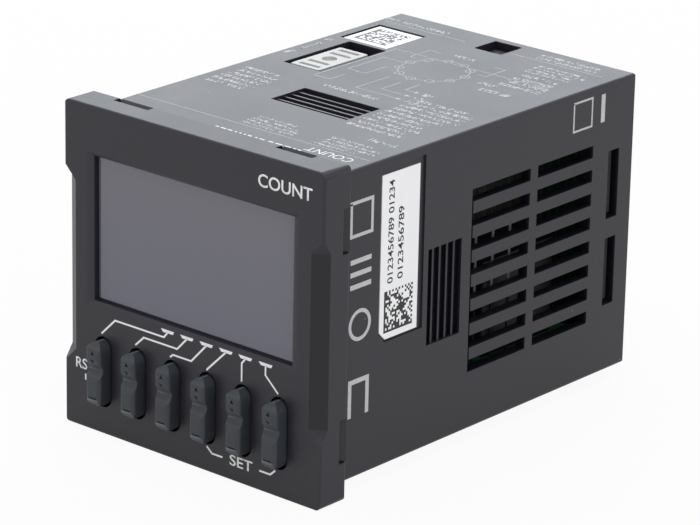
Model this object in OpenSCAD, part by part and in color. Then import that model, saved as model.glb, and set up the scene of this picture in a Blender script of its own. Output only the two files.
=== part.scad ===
// Panel counter: a square plug-in digital counter with six rocker keys.
// X runs to the right, Y into the panel and Z up. The origin is the middle of the bezel's rear face,
// which lies on the panel. Sizes are in millimetres.

/* [Bezel] */
// Width and height of the square bezel
bezel_w = 48; // [44:0.5:60]
// Overhang of the bezel beyond the case on each side
flange = 1.75; // [1.5:0.05:2]
// Depth of the bezel, from its front face to the panel
bezel_t = 5.4; // [4.8:0.1:8]
// Thickness of the bezel's front wall
front_wall = 2; // [1.7:0.1:2.6]
// Corner radius of the bezel's outline
bezel_corner_r = 1; // [0.6:0.1:2]
// Rounding of the bezel's front and rear edges
bezel_edge_r = 0.4; // [0.2:0.05:0.55]
// Width of each finger chamfer on the front face
grip_w = 2.2; // [1.2:0.1:2.4]
// Depth of each finger chamfer on the side face
grip_t = 1.5; // [0.8:0.1:1.9]
// Length of each finger chamfer at its full depth
grip_l = 25; // [16:0.5:30]
// Length of the slope at each end of a finger chamfer
grip_end = 2.2; // [1:0.1:4]
// Length of each snap notch in the bezel's rear edge
notch_l = 6.4; // [4:0.1:8]
// Depth of each snap notch, measured from the panel
notch_t = 1.5; // [1.2:0.1:1.8]
// Distance of each snap notch from the middle of its side
notch_x = 15; // [10:0.5:16]
// Depth of the seat for the case in the bezel's rear face
seat_t = 0.4; // [0.2:0.05:0.6]
// Depth of a case lug below the bezel's outside
lug_sink = 0.1; // [0.05:0.05:0.4]
// Fall of each case lug from the panel to the front of its notch
lug_ramp = 1; // [0.6:0.1:1.4]

/* [Display] */
// Distance of the window from each side of the bezel
window_side = 5.5; // [5.3:0.1:9]
// Distance of the window from the bezel's upper edge
window_top = 7.25; // [6.2:0.05:9]
// Distance of the window from the bezel's lower edge
window_foot = 19.55; // [18:0.05:24]
// Width of the bevel at the sides of the window
bevel_x = 1.25; // [0.4:0.05:1.5]
// Width of the bevel above and below the window
bevel_z = 0.45; // [0.2:0.05:0.8]
// Depth of the bevel round the window
bevel_t = 0.35; // [0.15:0.05:0.5]
// Depth of the clear panel below the bezel's front face
lens_recess = 1; // [0.7:0.05:1.2]
// Thickness of the clear panel
lens_t = 1.2; // [0.8:0.1:1.6]
// Overlap of the clear panel behind each edge of the window
lens_lip = 0.8; // [0.5:0.05:1]
// Thickness of the display cell
lcd_t = 2; // [1.4:0.1:2.6]
// Wall thickness of the display holder
holder_t = 1; // [0.7:0.05:1.1]
// Thickness of each rubber contact strip
zebra_t = 1.5; // [1:0.1:2.5]

/* [Keys] */
// Width of a key
key_w = 2.75; // [2.2:0.05:3.1]
// Length of a key
key_h = 9.7; // [8:0.1:10.2]
// Height of a key above the bezel's front face
key_rise = 2.3; // [1.5:0.1:4]
// Depth of the finger dip in a key
key_dip = 0.8; // [0.4:0.05:1]
// Radius of the two crests of a key, seen from the side
key_crest_r = 2.2; // [1.8:0.1:2.6]
// Distance of each crest from the middle of its key
key_crest_z = 2.95; // [2.9:0.05:3.4]
// Height of the dip above the middle of a key
key_waist_z = 0.8; // [0:0.1:0.9]
// Half length of the dip, from its bottom to the top of either side
dip_half = 2; // [1.5:0.05:2]
// Radius of the dip's upper edges
dip_edge_r = 2; // [0.8:0.1:2]
// Rounding of a key's front edges
key_edge_r = 0.7; // [0.2:0.05:0.8]
// Gap at each side of a key in its hole
key_side_gap = 0.2; // [0.12:0.01:0.32]
// Gap at each end of a key in its hole
key_end_gap = 0.42; // [0.36:0.01:0.55]
// Width of the lip that keeps a key in its hole
key_lip = 0.6; // [0.4:0.05:0.7]
// Thickness of that lip
key_lip_t = 0.7; // [0.5:0.05:1]
// Room for the lip to rock behind the front wall
key_lip_gap = 0.55; // [0.45:0.05:0.8]
// Diameter of the pins that a key turns on
key_pin_d = 1.2; // [0.8:0.05:1.4]
// Running clearance round those pins
key_pin_gap = 0.05; // [0.03:0.01:0.08]
// Thickness of the bezel's cradles between the keys
cradle_t = 1.4; // [1:0.1:1.5]
// Height of those cradles
cradle_h = 6; // [4:0.5:9]
// Length of the two plungers behind a key
plunger_l = 0.45; // [0.3:0.05:1]
// Distance of each plunger from the middle of its key
plunger_z = 3.6; // [2.5:0.1:4]
// Gap between a plunger and its dome at rest
press_gap = 0.4; // [0.35:0.05:0.6]
// Height of each dome of the key mat
dome_t = 0.7; // [0.4:0.05:1.2]
// Thickness of the key mat
mat_t = 0.6; // [0.4:0.05:1]
// Gap between the key mat and the case below it
mat_gap = 0.3; // [0.2:0.05:1.2]
// Height of a key switch's body
switch_t = 1.4; // [1:0.1:2.5]
// Height of a key switch's button
button_t = 0.4; // [0.2:0.05:0.8]

/* [Case] */
// Length of the case behind the panel
case_l = 64.35; // [58:0.05:90]
// Wall thickness of the case
wall = 1.6; // [1.4:0.05:1.7]
// Corner radius of the case
case_corner_r = 0.6; // [0.3:0.1:1.2]
// Rounding of the case's rear edges
case_edge_r = 0.3; // [0.1:0.05:0.6]
// Wall thickness of the collar that enters the bezel
collar_t = 0.8; // [0.6:0.05:0.9]
// Static clearance between pieces that fit together
fit = 0.1; // [0.05:0.01:0.15]

/* [Ratchet grooves] */
// Number of grooves on each side
ratchet_n = 5; // [3:1:6]
// Distance between neighbouring grooves
ratchet_pitch = 1.5; // [1.4:0.05:1.7]
// Width of a groove
ratchet_w = 1.1; // [0.8:0.05:1.2]
// Length of a groove
ratchet_l = 14; // [8:0.5:24]
// Depth of a groove
ratchet_t = 1; // [0.5:0.05:1.1]
// Distance of the first groove from the panel
ratchet_y = 18.45; // [17.5:0.05:19]
// Depth of the ribs between the grooves below the case's outside
rib_sink = 0.3; // [0.1:0.05:0.4]

/* [Vents] */
// Number of slots in each column
vent_rows = 8; // [4:1:8]
// Distance between neighbouring slots
vent_pitch = 3.6; // [2.6:0.1:3.7]
// Height of a slot
vent_h = 1.8; // [1:0.1:2]
// Width of the bar between the two columns
vent_bar = 1.7; // [1:0.1:2]
// Distance of the first column from the panel
vent_y = 27.9; // [27:0.1:32]
// Distance of the last column from the rear end of the case
vent_end = 9.55; // [9:0.05:14]
// Width of the fine line that joins the front ends of the slots
vent_line_w = 0.25; // [0.15:0.05:0.4]
// Depth of that line
vent_line_t = 0.4; // [0.2:0.05:0.6]

/* [Rear snaps] */
// Width and length of the snap window above and below
snap_w = 5; // [3:0.1:6]
// Distance of that window from the rear end of the case
snap_end = 1.55; // [1.2:0.05:1.8]
// Height of each snap slot in the sides
side_snap_h = 10.3; // [6:0.1:12]
// Length of each snap slot in the sides
side_snap_l = 2.5; // [2:0.1:2.6]
// Distance of each snap slot from the middle of its side
side_snap_z = 6.65; // [6.3:0.05:8]
// Distance of the snap slots from the rear end of the case
side_snap_end = 3.35; // [3.2:0.05:3.5]
// Gap between a hook and the edges of its window
hook_gap = 0.25; // [0.15:0.05:0.4]
// Depth of a rear hook below the outside of the case
hook_depth = 1.1; // [0.4:0.05:1.2]

/* [Selector] */
// Distance of the selector's middle from the left side of the case
selector_side = 8.05; // [7.6:0.05:14]
// Distance of the selector's window from the panel
selector_y = 33; // [31:0.1:33.2]
// Width of the selector's window
selector_w = 7; // [6:0.1:7.4]
// Width of the selector's knob
knob_w = 5.5; // [4:0.1:5.8]
// Length of the selector's knob
knob_l = 11; // [8:0.1:11.2]
// Travel of the knob towards the rear
knob_travel = 2.4; // [1.5:0.1:2.6]
// Gap at each end of the knob's travel
knob_gap = 0.55; // [0.3:0.05:0.6]
// Depth of the knob below the outside of the case
knob_sink = 0.1; // [0.05:0.05:0.4]
// Width of the knob's stem
stem_w = 3; // [2:0.1:3.4]
// Length of the knob's stem
stem_l = 5; // [3:0.1:7]

/* [Labels] */
// Thickness of a label
label_t = 0.15; // [0.1:0.01:0.2]
// Depth of the recess that a label lies in
label_recess = 0.3; // [0.25:0.01:0.4]
// Width of the side label
side_label_w = 7.9; // [5:0.1:8.2]
// Height of the side label
side_label_h = 23.7; // [15:0.1:25]
// Distance of the side label from the panel
side_label_y = 8.5; // [6:0.1:8.8]
// Distance of the side label from the top of the case
side_label_top = 2.25; // [1.8:0.05:5]
// Width and length of the top label
top_label_w = 8.3; // [5:0.1:8.5]
// Distance of the top label's middle from the left side of the case
top_label_side = 6.45; // [5.9:0.05:9]
// Distance of the top label from the panel
top_label_y = 48.7; // [48.4:0.1:49]
// Margin of a recess round its label
label_gap = 0.3; // [0.1:0.05:0.4]

/* [Plug] */
// Diameter of the circle that the pins stand on
plug_pcd = 19.05; // [17:0.05:22]
// Diameter of a pin
plug_pin_d = 2.36; // [1.8:0.02:2.6]
// Length of a pin behind the plug's face
plug_pin_l = 11; // [8:0.5:14]
// Diameter of the keyed post
post_d = 8.7; // [7:0.1:10]
// Length of the keyed post behind the plug's face
post_l = 14; // [10:0.5:18]
// Width of the post's key
post_key_w = 2; // [1.5:0.1:2.4]
// Height of the post's key
post_key_h = 0.9; // [0.5:0.1:1.2]
// Diameter of the plug's face
boss_d = 28; // [25:0.5:32]
// Height of the plug's face above the rear cover
boss_t = 1.2; // [0.6:0.1:2]
// Thickness of the rear cover
base_t = 2.6; // [2:0.1:3]
// Depth of the rear cover below the end of the case
base_recess = 0.3; // [0.1:0.05:0.6]
// Length of the rear cover's skirt inside the case
skirt_l = 5.5; // [5:0.1:7]
// Thickness of that skirt
skirt_t = 1.2; // [0.8:0.1:1.4]
// Height of the posts that carry the rear board
standoff_l = 2.5; // [2:0.1:3]

/* [Boards] */
// Thickness of the circuit boards
board_t = 1.6; // [1:0.1:1.8]
// Width of the guide rails inside the case
rail_w = 1; // [0.6:0.1:1.4]
// Height of each guide rail
rail_h = 1; // [0.6:0.1:1.2]
// Depth of the corner stops behind the display board
stop_t = 2; // [1.5:0.1:3]
// Width of those corner stops
stop_w = 3; // [2:0.1:4]

/* [Hidden] */
$fn = 48;
key_n = 6;
plug_pin_n = 11;
over = 1;
// Small corner radii of plates and of moulded blocks
board_r = 1;
soft_r = 0.4;

// Planes from the front to the rear
y_front = -bezel_t;
y_wall = y_front + front_wall;
y_lens = y_front + lens_recess;
y_lcd = y_lens + lens_t;
y_guide = y_lcd + lcd_t;
y_tip = y_front - key_rise;
y_lip = y_wall + key_lip_gap;
y_pivot = y_lip + key_lip_t / 2;
y_plunger = y_lip + key_lip_t + plunger_l;
y_dome = y_plunger + press_gap;
y_mat = y_dome + dome_t;
y_button = y_mat + mat_t;
y_switch = y_button + button_t;
y_board = y_switch + switch_t;
y_stop = y_board + board_t;
y_cover = case_l - base_recess;
y_base = y_cover - base_t;
y_skirt = y_base - skirt_l;
y_boss = y_cover + boss_t;
y_rear_back = y_base - standoff_l;
y_rear = y_rear_back - board_t;
y_deck = y_stop + stop_t + 4 * fit;
y_deck_end = y_skirt - 4 * fit;

// Widths across the case and the bezel
body_w = bezel_w - 2 * flange;
half = body_w / 2;
inner_w = body_w - 2 * wall;
inner = inner_w / 2;
collar_w = inner_w + 2 * collar_t;
cavity_w = collar_w + 2 * fit;
collar_lap = 0.7;
collar_l = notch_t + collar_lap;
base_w = inner_w - 2 * fit;
rear_board_w = base_w - 2 * skirt_t - 4 * fit;
board_w = inner_w - 3 * fit;

// Display stack
window_w = bezel_w - 2 * window_side;
window_h = bezel_w - window_top - window_foot;
window_z = (window_foot - window_top) / 2;
cell_w = window_w + 2 * lens_lip;
cell_h = window_h + 2 * lens_lip;
holder_in = 1.5 * fit;
led_w = 1.2;
led_h = 3;
guide_w = cell_w - 2 * led_w - 4 * fit;
guide_h = cell_h - 2 * zebra_t - 4 * fit;

// Keys and what lies behind them: the row fills the room inside the case
key_pitch = (inner_w - 3 * fit - cradle_t) / key_n;
hole_w = key_w + 2 * key_side_gap;
hole_h = key_h + 2 * key_end_gap;
lip_w = key_w + 2 * key_lip;
lip_h = key_h + 2 * key_lip;
pin_reach = key_pitch / 2 - fit;
dip_blend = 0.12;
dip_r = (pow(dip_half, 2) + pow(key_dip, 2)) / (2 * key_dip) - dip_edge_r + dip_blend;
dip_span = sqrt(pow(dip_half, 2) + pow(dip_edge_r + dip_r - key_dip, 2));
dip_touch_z = dip_half * dip_r / dip_span;
mark_w = 0.75;
mark_h = 0.55;
mark_gap = 0.75;
mark_z = 2.75;
mark_t = 0.35;
mark_line_w = 1.4;
mark_line_h = 0.18;
mark_line_z = key_crest_z + 0.4;
plunger_edge = 0.8;
plunger_d = key_w - 2 * plunger_edge;
dome_edge = 0.25;
dome_d = key_w - 2 * dome_edge;
mat_side = 1;
mat_end = 0.3;
mat_w = (key_n - 1) * key_pitch + lip_w + 2 * mat_side;
mat_h = lip_h + 2 * mat_end;
key_z = -inner + mat_gap + mat_h / 2;
seat_mouth = 1.02;
switch_w = 3;
button_d = 1.6;

// Vents and the two long boards, which lie just above and just below the vents
vent_half = (vent_rows - 1) / 2 * vent_pitch + vent_h / 2;
vent_l = (case_l - vent_end - vent_y - vent_bar) / 2;
rail_clear = 0.45;
deck_z = vent_half + rail_clear + rail_h + fit / 2 + board_t / 2;
z_low = -deck_z + board_t / 2;
z_up = deck_z + board_t / 2;
z_under = deck_z - board_t / 2;

// Selector and labels
selector_x = -half + selector_side;
top_label_x = -half + top_label_side;
side_label_z = half - side_label_top;
side_label_cut = 1.2;
label_room = 0.7;
selector_l = knob_l + knob_travel + 2 * knob_gap;
selector_mid = selector_y + selector_l / 2;
knob_top = half - knob_sink;
switch_top = inner - 3.5 * fit;
knob_under = switch_top + 3 * fit;
stem_gap = 0.8;
stem_under = z_up + stem_gap;
switch_side = 0.45;
knob_mid = selector_y + knob_gap + knob_l / 2;
knob_groove_w = 0.7;
knob_groove_t = 0.3;
knob_groove_side = 0.9;
knob_groove_at = [-4.3, -2.4, 2.4, 4.3];
dimple_d = 2.2;
dimple_t = 0.4;

// Plug pins and the rear cover
tail_d = 1.2;
pin_head_edge = 0.45;
pin_head_d = plug_pin_d + 2 * pin_head_edge;
pin_head_t = 0.8;
pin_tip_l = 1.2;
post_key_end = 1.5;
standoff_d = 4;
standoff_in = 4;
hook_flat = 1;

// Parts on the boards: sizes, then the [x, y] of each middle on the lower board
part_gap = 0.5;
header_w = 20;
header_t = 2.5;
header_pins = 8;
header_pin_w = 0.64;
y_parts = y_deck + header_t + part_gap;
y_parts_end = y_deck_end - header_t - part_gap;
relay_size = [12.4, 16, 14.4];
relay_side = 3;
relay_r = 0.6;
relay_at = [inner - relay_side - relay_size[0] / 2, y_parts_end - relay_size[1] / 2];
film_size = [5, 10, 9.5];
film_side = 8;
film_at = [inner - film_side - film_size[0] / 2,
    relay_at[1] - relay_size[1] / 2 - part_gap - film_size[1] / 2];
can_d = [10, 8];
can_h = [17, 12];
can_side = 3.4;
can_gap = 1.4;
can_rim = 0.6;
can_crimp_r = 0.45;
can_crimp_z = 2;
can_x = [inner - can_side - can_d[0] / 2, inner - can_side - can_d[0] - can_gap - can_d[1] / 2];
can_at = [for (i = [0, 1]) [can_x[i], y_parts + can_d[i] / 2]];
varistor_d = 9;
varistor_t = 3.6;
varistor_side = 1.5;
varistor_at = [-inner + varistor_side + varistor_d / 2, y_parts + varistor_t / 2];
lead_d = 0.8;
lead_l = 2.5;
core_w = 18;
core_t = 6;
core_h = 15;
core_leg = 5;
core_yoke = 2.5;
core_up = 1.5;
core_side = 3.6;
core_from_parts = 23;
link_d = 0.4;
link_n = 3;
link_pitch = 3.81;
link_side = 1.65;
link_from_parts = 23.9;
core_at = [-inner + core_side + core_w / 2, y_parts + core_from_parts];
spool_t = 0.8;
spool_r = 1;
spool_w = core_w - 2 * core_yoke - 4 * fit;
spool_l = 15;
winding_sink = 0.6;
winding_w = spool_w - 2 * winding_sink;
winding_l = spool_l - 2 * winding_sink;
winding_r = 2.5;
foot_l = 2;
foot_side = 1;
chip_w = 12;
chip_t = 1.6;
chip_up = 0.2;
chip_leg = 1.2;
opto_n = 4;
opto_size = [6.2, 4.6, 3.2];
opto_pitch = 8;
opto_from_parts = 7;

function key_x(i) = (i - (key_n - 1) / 2) * key_pitch;
function slot_z(i) = (i - (vent_rows - 1) / 2) * vent_pitch;
function pin_turn(i) = -90 + (i + 0.5) * 360 / plug_pin_n;

// A block between two limits on each axis
module block(x, y, z) {
    translate([x[0], y[0], z[0]])
        cube([x[1] - x[0], y[1] - y[0], z[1] - z[0]]);
}

// A block that stands on a board: middle x and y, underside and size
module standing(at, z, size) {
    translate([at[0] - size[0] / 2, at[1] - size[1] / 2, z])
        cube(size);
}

// Extrusions of a flat outline along each axis: outlines are drawn in XZ, YZ and XY
module along_y(y0, y1) {
    translate([0, y1, 0])
        rotate([90, 0, 0])
            linear_extrude(y1 - y0)
                children();
}

module along_x(x0, x1) {
    translate([x0, 0, 0])
        rotate([90, 0, 90])
            linear_extrude(x1 - x0)
                children();
}

module along_z(z0, z1) {
    translate([0, 0, z0])
        linear_extrude(z1 - z0)
            children();
}

// Rectangle with round corners, centred
module soft_rect(w, h, r) {
    square([w - 2 * r, h], center = true);
    square([w, h - 2 * r], center = true);
    for (x = [-1, 1], y = [-1, 1])
        translate([x * (w / 2 - r), y * (h / 2 - r)])
            circle(r);
}

// Upright slot with round ends, centred
module stadium(w, h) {
    square([w, h - w], center = true);
    for (s = [-1, 1])
        translate([0, s * (h - w) / 2])
            circle(d = w);
}

// Copies on the four sides, and mirrored copies on two
module four_sides() {
    for (a = [0 : 90 : 270])
        rotate([0, a, 0])
            children();
}

module both_sides() {
    for (s = [0, 1])
        mirror([s, 0, 0])
            children();
}

module top_and_bottom() {
    for (s = [0, 1])
        mirror([0, 0, s])
            children();
}

// Bezel blank: three soft outlines, one across each axis, round every edge
module bezel_blank() {
    intersection() {
        along_y(y_front, 0)
            soft_rect(bezel_w, bezel_w, bezel_corner_r);
        along_x(-bezel_w / 2, bezel_w / 2)
            translate([y_front / 2, 0])
                soft_rect(bezel_t, bezel_w, bezel_edge_r);
        along_z(-bezel_w / 2, bezel_w / 2)
            translate([0, y_front / 2])
                soft_rect(bezel_w, bezel_t, bezel_edge_r);
    }
}

// Wedge that cuts a finger chamfer with sloping ends into the right front edge.
// Its flat passes through the two edges of the chamfer, and each end runs out to a point.
module grip_cut() {
    edge = bezel_w / 2;
    z_full = grip_l / 2;
    z_end = z_full + grip_end;
    face_x = edge - grip_w;
    out = 1.5;
    // points beyond the front face, beyond the side face and beyond the corner
    a = [face_x - grip_w * out, y_front - grip_t * out];
    c = [edge + grip_w * out, y_front + grip_t * (1 + out)];
    mid = [(face_x + edge) / 2, y_front + grip_t / 2];
    tip = [edge + (edge - mid[0]) * out, y_front + (y_front - mid[1]) * out];
    z_tip = z_end + grip_end * out;
    polyhedron(
        points = [[a[0], a[1], z_full], [c[0], c[1], z_full], [tip[0], tip[1], z_tip],
            [a[0], a[1], -z_full], [c[0], c[1], -z_full], [tip[0], tip[1], -z_tip]],
        faces = [[0, 1, 2], [5, 4, 3], [0, 3, 4, 1], [1, 4, 5, 2], [2, 5, 3, 0]]);
}

// Opening, bevel and rebate for the clear panel
module window_cut() {
    x = window_w / 2;
    z = window_h / 2;
    translate([0, 0, window_z]) {
        along_y(y_front - over, y_wall + over)
            square([window_w, window_h], center = true);
        along_y(y_lens, y_wall + over)
            square([cell_w + 2 * fit, cell_h + 2 * fit], center = true);
        intersection() {
            along_x(-x - bevel_x, x + bevel_x)
                polygon([[y_front, -z - bevel_z], [y_front, z + bevel_z], [y_front + bevel_t, z],
                    [y_front + bevel_t, -z]]);
            along_z(-z - bevel_z, z + bevel_z)
                polygon([[-x - bevel_x, y_front], [x + bevel_x, y_front], [x, y_front + bevel_t],
                    [-x, y_front + bevel_t]]);
        }
    }
}

module each_key() {
    for (i = [0 : key_n - 1])
        translate([key_x(i), 0, key_z])
            children();
}

// Ribs between the keys, whose snap-in seats hold the key pins
module key_cradles() {
    for (i = [0 : key_n])
        translate([key_x(i - 0.5), 0, key_z])
            block([-cradle_t / 2, cradle_t / 2], [y_wall - fit, y_mat], [-cradle_h / 2, cradle_h / 2]);
}

module cradle_seats() {
    reach = key_x(key_n - 0.5) + cradle_t;
    seat_d = key_pin_d + 2 * key_pin_gap;
    translate([-reach, y_pivot, key_z])
        rotate([0, 90, 0])
            cylinder(d = seat_d, h = 2 * reach);
    translate([0, 0, key_z])
        block([-reach, reach], [y_pivot, y_mat + over], [-seat_mouth / 2, seat_mouth / 2]);
}

module notch_cuts() {
    four_sides()
        for (s = [-1, 1])
            translate([s * notch_x, 0, 0])
                block([-notch_l / 2, notch_l / 2], [-notch_t, over],
                    [cavity_w / 2 - over, bezel_w / 2 + over]);
}

module front_bezel() {
    color("#3c3c3f")
        difference() {
            union() {
                difference() {
                    bezel_blank();
                    along_y(y_wall, over)
                        square(cavity_w, center = true);
                    along_y(-seat_t, over)
                        soft_rect(body_w + 2 * fit, body_w + 2 * fit, case_corner_r + fit);
                }
                key_cradles();
            }
            window_cut();
            each_key()
                along_y(y_front - over, y_wall + over)
                    stadium(hole_w, hole_h);
            cradle_seats();
            notch_cuts();
            both_sides()
                grip_cut();
        }
}

module display_window() {
    color("#8d8d98", 0.6)
        translate([0, 0, window_z])
            along_y(y_lens, y_lcd)
                square([cell_w, cell_h], center = true);
}

// Two glass plates: the front one is taller, and its edges carry the contacts on their rear side
module lcd_panel() {
    color("#6c6c74")
        translate([0, 0, window_z]) {
            along_y(y_lcd, y_lcd + lcd_t / 2)
                square([cell_w, cell_h], center = true);
            along_y(y_lcd + lcd_t / 2, y_guide)
                square([cell_w, cell_h - 2 * (zebra_t + fit)], center = true);
        }
}

module lcd_holder() {
    in_w = cell_w + 2 * holder_in;
    in_h = cell_h + 2 * holder_in;
    color("#2a2a2c")
        translate([0, 0, window_z])
            along_y(y_wall, y_board)
                difference() {
                    square([in_w + 2 * holder_t, in_h + 2 * holder_t], center = true);
                    square([in_w, in_h], center = true);
                }
}

module light_guide() {
    color("#e8ecef", 0.8)
        translate([0, 0, window_z])
            along_y(y_guide, y_board)
                square([guide_w, guide_h], center = true);
}

module backlight_leds() {
    color("#f4f1d8")
        both_sides()
            for (s = [-1, 1])
                translate([guide_w / 2 + fit, y_guide + 3 * fit, window_z + s * guide_h / 4])
                    block([0, led_w], [0, y_board - y_guide - 3 * fit], [-led_h / 2, led_h / 2]);
}

module zebra_strips() {
    color("#b9b4a8")
        translate([0, 0, window_z])
            top_and_bottom()
                block([-guide_w / 2, guide_w / 2], [y_lcd + lcd_t / 2, y_board],
                    [cell_h / 2 - zebra_t, cell_h / 2]);
}

// Outline of a key from the side: two round crests with a finger dip between them
module key_profile() {
    depth = y_lip + key_lip_t - y_tip;
    difference() {
        union() {
            for (s = [-1, 1]) {
                translate([y_tip + key_crest_r, s * key_crest_z])
                    circle(key_crest_r, $fn = 96);
                translate([y_tip + dip_edge_r, key_waist_z + s * dip_half])
                    circle(dip_edge_r, $fn = 96);
            }
            translate([y_tip + key_crest_r, -key_h / 2])
                square([depth - key_crest_r, key_h]);
            translate([y_tip + dip_edge_r, -key_crest_z])
                square([depth - dip_edge_r, 2 * key_crest_z]);
            translate([y_tip, -key_crest_z])
                square([depth, key_crest_z + key_waist_z - dip_half]);
            translate([y_tip, key_waist_z + dip_half])
                square([depth, key_crest_z - key_waist_z - dip_half]);
            translate([y_tip, key_waist_z - dip_touch_z])
                square([depth, 2 * dip_touch_z]);
        }
        translate([y_tip + key_dip - dip_r, key_waist_z])
            circle(dip_r, $fn = 192);
    }
}

// Marks cut into a key: an up and a down triangle on the upper crest, and a line below the lower one
module key_marks() {
    along_y(y_tip - over, y_tip + mark_t) {
        translate([0, mark_z])
            for (s = [0, 1])
                mirror([0, s])
                    polygon([[-mark_w / 2, mark_gap / 2], [mark_w / 2, mark_gap / 2],
                        [0, mark_gap / 2 + mark_h]]);
        translate([0, -mark_line_z])
            square([mark_line_w, mark_line_h], center = true);
    }
}

module rocker_key(i) {
    depth = y_lip + key_lip_t - y_tip;
    color("#36393d")
        translate([key_x(i), 0, key_z]) {
            difference() {
                intersection() {
                    along_y(y_tip, y_lip + key_lip_t)
                        stadium(key_w, key_h);
                    along_x(-key_w / 2, key_w / 2)
                        key_profile();
                    along_z(-key_h / 2, key_h / 2)
                        translate([0, y_tip + depth])
                            soft_rect(key_w, 2 * depth, key_edge_r);
                }
                key_marks();
            }
            along_y(y_lip, y_lip + key_lip_t)
                stadium(lip_w, lip_h);
            translate([-pin_reach, y_pivot, 0])
                rotate([0, 90, 0])
                    cylinder(d = key_pin_d, h = 2 * pin_reach);
            for (s = [-1, 1])
                translate([0, 0, s * plunger_z])
                    along_y(y_lip, y_plunger)
                        circle(d = plunger_d);
        }
}

module key_mat() {
    color("#8b8f94") {
        translate([0, 0, key_z])
            along_y(y_mat, y_button)
                soft_rect(mat_w, mat_h, board_r);
        each_key()
            for (s = [-1, 1])
                translate([0, 0, s * plunger_z])
                    along_y(y_dome, y_mat)
                        circle(d = dome_d);
    }
}

module key_switches() {
    color("#b4b6b8")
        each_key()
            for (s = [-1, 1])
                translate([0, 0, s * plunger_z]) {
                    along_y(y_switch, y_board)
                        soft_rect(switch_w, switch_w, soft_r);
                    along_y(y_button, y_switch)
                        circle(d = button_d);
                }
}

module display_board() {
    color("#1f5b36")
        along_y(y_board, y_stop)
            soft_rect(board_w, board_w, board_r);
}

module controller_chip() {
    color("#222326") {
        along_y(y_stop + chip_up, y_stop + chip_t)
            soft_rect(chip_w, chip_w, soft_r);
        along_y(y_stop, y_stop + chip_up)
            square(chip_w + 2 * chip_leg, center = true);
    }
}

// Pin strips in the corners where the boards meet: one strip lies on each long board at each end
module header_strip(y0, y1) {
    pitch = header_w / header_pins;
    block([-header_w / 2, header_w / 2], [y0, y1], [0, header_t]);
    for (i = [0 : header_pins - 1])
        translate([(i - (header_pins - 1) / 2) * pitch, 0, header_t / 2])
            block([-header_pin_w / 2, header_pin_w / 2], [y0, y1], [0, header_t]);
}

module board_headers() {
    color("#1d1d1f")
        top_and_bottom()
            translate([0, 0, -z_under]) {
                header_strip(y_stop, y_deck + header_t);
                header_strip(y_deck_end - header_t, y_rear);
            }
}

module deck() {
    block([-board_w / 2, board_w / 2], [y_deck, y_deck_end], [-board_t / 2, board_t / 2]);
}

module upper_board() {
    color("#1f5b36")
        translate([0, 0, deck_z])
            deck();
}

module lower_board() {
    color("#1f5b36")
        translate([0, 0, -deck_z])
            deck();
}

module optocouplers() {
    color("#1b1b1d")
        for (i = [0 : opto_n - 1])
            standing([(i - (opto_n - 1) / 2) * opto_pitch, y_parts + opto_from_parts], z_under - opto_size[2],
                opto_size);
}

// Slide switch on the upper board, with a slot for the knob's stem
module selector_switch() {
    slot_l = stem_l + knob_travel + 6 * fit;
    slot_w = stem_w + 4 * fit;
    body_l = selector_l - 2 * knob_gap;
    color("#2b2c2f")
        translate([selector_x, selector_mid, 0])
            difference() {
                along_z(z_up, switch_top)
                    soft_rect(knob_w + 2 * switch_side, body_l, soft_r);
                along_z(stem_under - 2 * fit, switch_top + over)
                    square([slot_w, slot_l], center = true);
            }
}

// Light slide knob: a grooved plate in the case's window, with a stem below it
module selector_knob() {
    color("#c9cac8")
        translate([selector_x, knob_mid, 0]) {
            difference() {
                along_z(knob_under, knob_top)
                    soft_rect(knob_w, knob_l, soft_r);
                for (y = knob_groove_at)
                    translate([0, y, knob_top])
                        block([-knob_w / 2 + knob_groove_side, knob_w / 2 - knob_groove_side],
                            [-knob_groove_w / 2, knob_groove_w / 2], [-knob_groove_t, over]);
                translate([0, 0, knob_top - dimple_t])
                    cylinder(d = dimple_d, h = dimple_t + over);
            }
            along_z(stem_under, knob_under)
                square([stem_w, stem_l], center = true);
        }
}

// Tinned wires that join the two long boards
module board_links() {
    color("#b8babd")
        for (i = [0 : link_n - 1])
            translate([inner - link_side, y_parts + link_from_parts + i * link_pitch, 0])
                along_z(z_low, z_under)
                    circle(d = link_d);
}

// Two E halves round the spool
module transformer_core() {
    z = z_low + core_up;
    gap = (core_w - core_leg - 2 * core_yoke) / 2;
    color("#3b3b3e")
        translate([core_at[0], core_at[1], z])
            difference() {
                block([-core_w / 2, core_w / 2], [-core_t / 2, core_t / 2], [0, core_h]);
                both_sides()
                    block([core_leg / 2, core_leg / 2 + gap], [-core_t, core_t],
                        [core_yoke, core_h - core_yoke]);
            }
}

module spool_outline(grow) {
    square([core_leg + 2 * grow, core_t + 2 * grow], center = true);
}

module transformer_bobbin() {
    z0 = z_low + core_up + core_yoke + fit;
    z1 = z_low + core_up + core_h - core_yoke - fit;
    color("#1e1e20")
        translate([core_at[0], core_at[1], 0]) {
            difference() {
                union() {
                    along_z(z0, z0 + spool_t)
                        soft_rect(spool_w, spool_l, spool_r);
                    along_z(z1 - spool_t, z1)
                        soft_rect(spool_w, spool_l, spool_r);
                    along_z(z0, z1)
                        spool_outline(spool_t);
                }
                along_z(z0 - over, z1 + over)
                    spool_outline(fit);
            }
            for (s = [-1, 1])
                translate([0, s * (spool_l - foot_l) / 2, 0])
                    block([-spool_w / 2 + foot_side, spool_w / 2 - foot_side],
                        [-foot_l / 2, foot_l / 2], [z_low, z0]);
        }
}

module transformer_winding() {
    z0 = z_low + core_up + core_yoke + spool_t + 2 * fit;
    z1 = z_low + core_up + core_h - core_yoke - spool_t - 2 * fit;
    color("#c8a13a")
        translate([core_at[0], core_at[1], 0])
            along_z(z0, z1)
                difference() {
                    soft_rect(winding_w, winding_l, winding_r);
                    spool_outline(spool_t + fit / 2);
                }
}

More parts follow.
